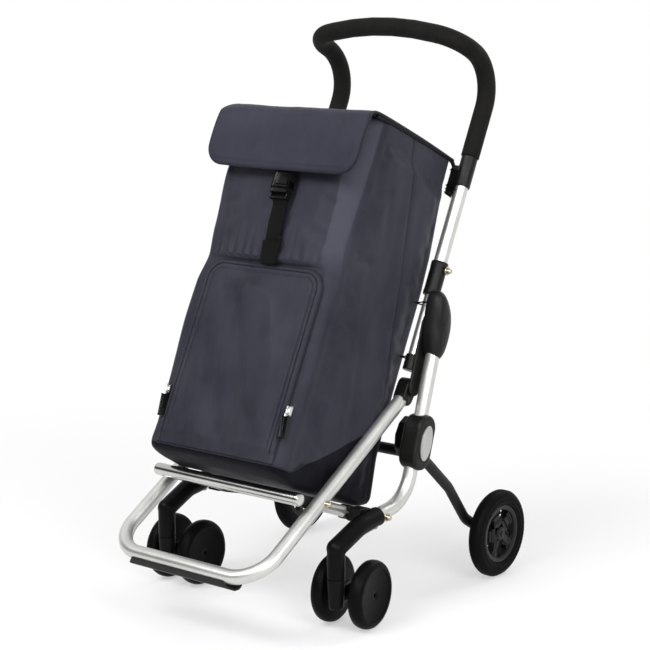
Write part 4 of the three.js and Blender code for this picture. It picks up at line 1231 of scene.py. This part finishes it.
def build_floor():
    """The floor is pale and matt near the trolley and fades into the white of the studio around it."""
    material, tree, bsdf = new_material("floor_white")
    connect(tree, bsdf, Base_Color=(0.95, 0.95, 0.95, 1), Roughness=0.8, Specular_IOR_Level=0.1)
    reach = node(tree, "VectorMath", {0: coordinates(tree)}, operation="LENGTH").outputs["Value"]
    fade = soft_range(tree, reach, 0.5, 1.8, 0.45)
    white = node(tree, "Emission", {"Color": (1, 1, 1, 1), "Strength": 1.0})
    blend = node(tree, "MixShader", {0: fade, 1: bsdf.outputs[0], 2: white.outputs[0]})
    surface = next(n for n in tree.nodes if n.type == "OUTPUT_MATERIAL")
    tree.links.new(blend.outputs[0], surface.inputs["Surface"])
    mesh = bpy.data.meshes.new("floor")
    corners = [(x * FLOOR_HALF, y * FLOOR_HALF, -FLOOR_DROP) for x, y in ((-1, -1), (1, -1), (1, 1), (-1, 1))]
    mesh.from_pydata(corners, [], [(0, 1, 2, 3)])
    mesh.materials.append(material)
    show("floor", mesh)


def build_world():
    """The studio looks pure white to the camera and lights the trolley a little less strongly."""
    world = bpy.data.worlds.new("studio")
    bpy.context.scene.world = world
    world.use_nodes = True
    tree = world.node_tree
    background = tree.nodes["Background"]
    background.inputs["Color"].default_value = (1, 1, 1, 1)
    rays = node(tree, "LightPath").outputs
    sight = node(tree, "TexCoord").outputs["Generated"]
    # Mirrors see a dark patch of studio low down in front of the trolley, to the left of the camera.
    towards = soft_range(tree, dot(tree, sight, (-0.60, -0.80, 0)), 0.55, 0.85)
    height = node(tree, "SeparateXYZ", {0: sight}).outputs[2]
    low = soft_range(tree, height, 0.42, 0.55, 1, 0)
    dark = times(tree, times(tree, towards, low), rays["Is Glossy Ray"])
    # Its walls are a little brighter in mirrors than as a source of soft light.
    walls = minus(tree, 0.80, times(tree, rays["Is Diffuse Ray"], 0.32))
    lit = minus(tree, walls, times(tree, dark, 0.74))
    strength = node(tree, "Mix", {0: rays["Is Camera Ray"], 2: lit, 3: 1.0})
    tree.links.new(strength.outputs[0], background.inputs["Strength"])


def build_camera():
    data = bpy.data.cameras.new("camera")
    data.sensor_width = 36
    data.lens = CAMERA_LENS
    data.clip_start, data.clip_end = 0.05, 100
    turn, pitch = math.radians(CAMERA_TURN), math.radians(CAMERA_PITCH)
    forward = Vector((-math.sin(turn) * math.cos(pitch), math.cos(turn) * math.cos(pitch), -math.sin(pitch)))
    camera = show("camera", data)
    aim(camera, Vector(CAMERA_AT) - Vector((0, SHIFT * MM, 0)), forward)
    bpy.context.scene.camera = camera


build_floor()
build_world()
area_light("key", (-0.6, -2.7, 3.2), (0, 0, 0.4), (2.2, 1.6), 98)
area_light("right", (3.0, -1.2, 1.9), (0, 0, 0.5), (1.6, 2.4), 66)
area_light("corner", (1.66, -2.87, 2.74), (0, 0, 0.6), (0.7, 0.8), 55, False)
area_light("rim", (0.4, 2.8, 2.4), (0, 0, 0.6), (2.4, 1.2), 30)
build_camera()
bpy.context.scene.view_settings.view_transform = "Standard"
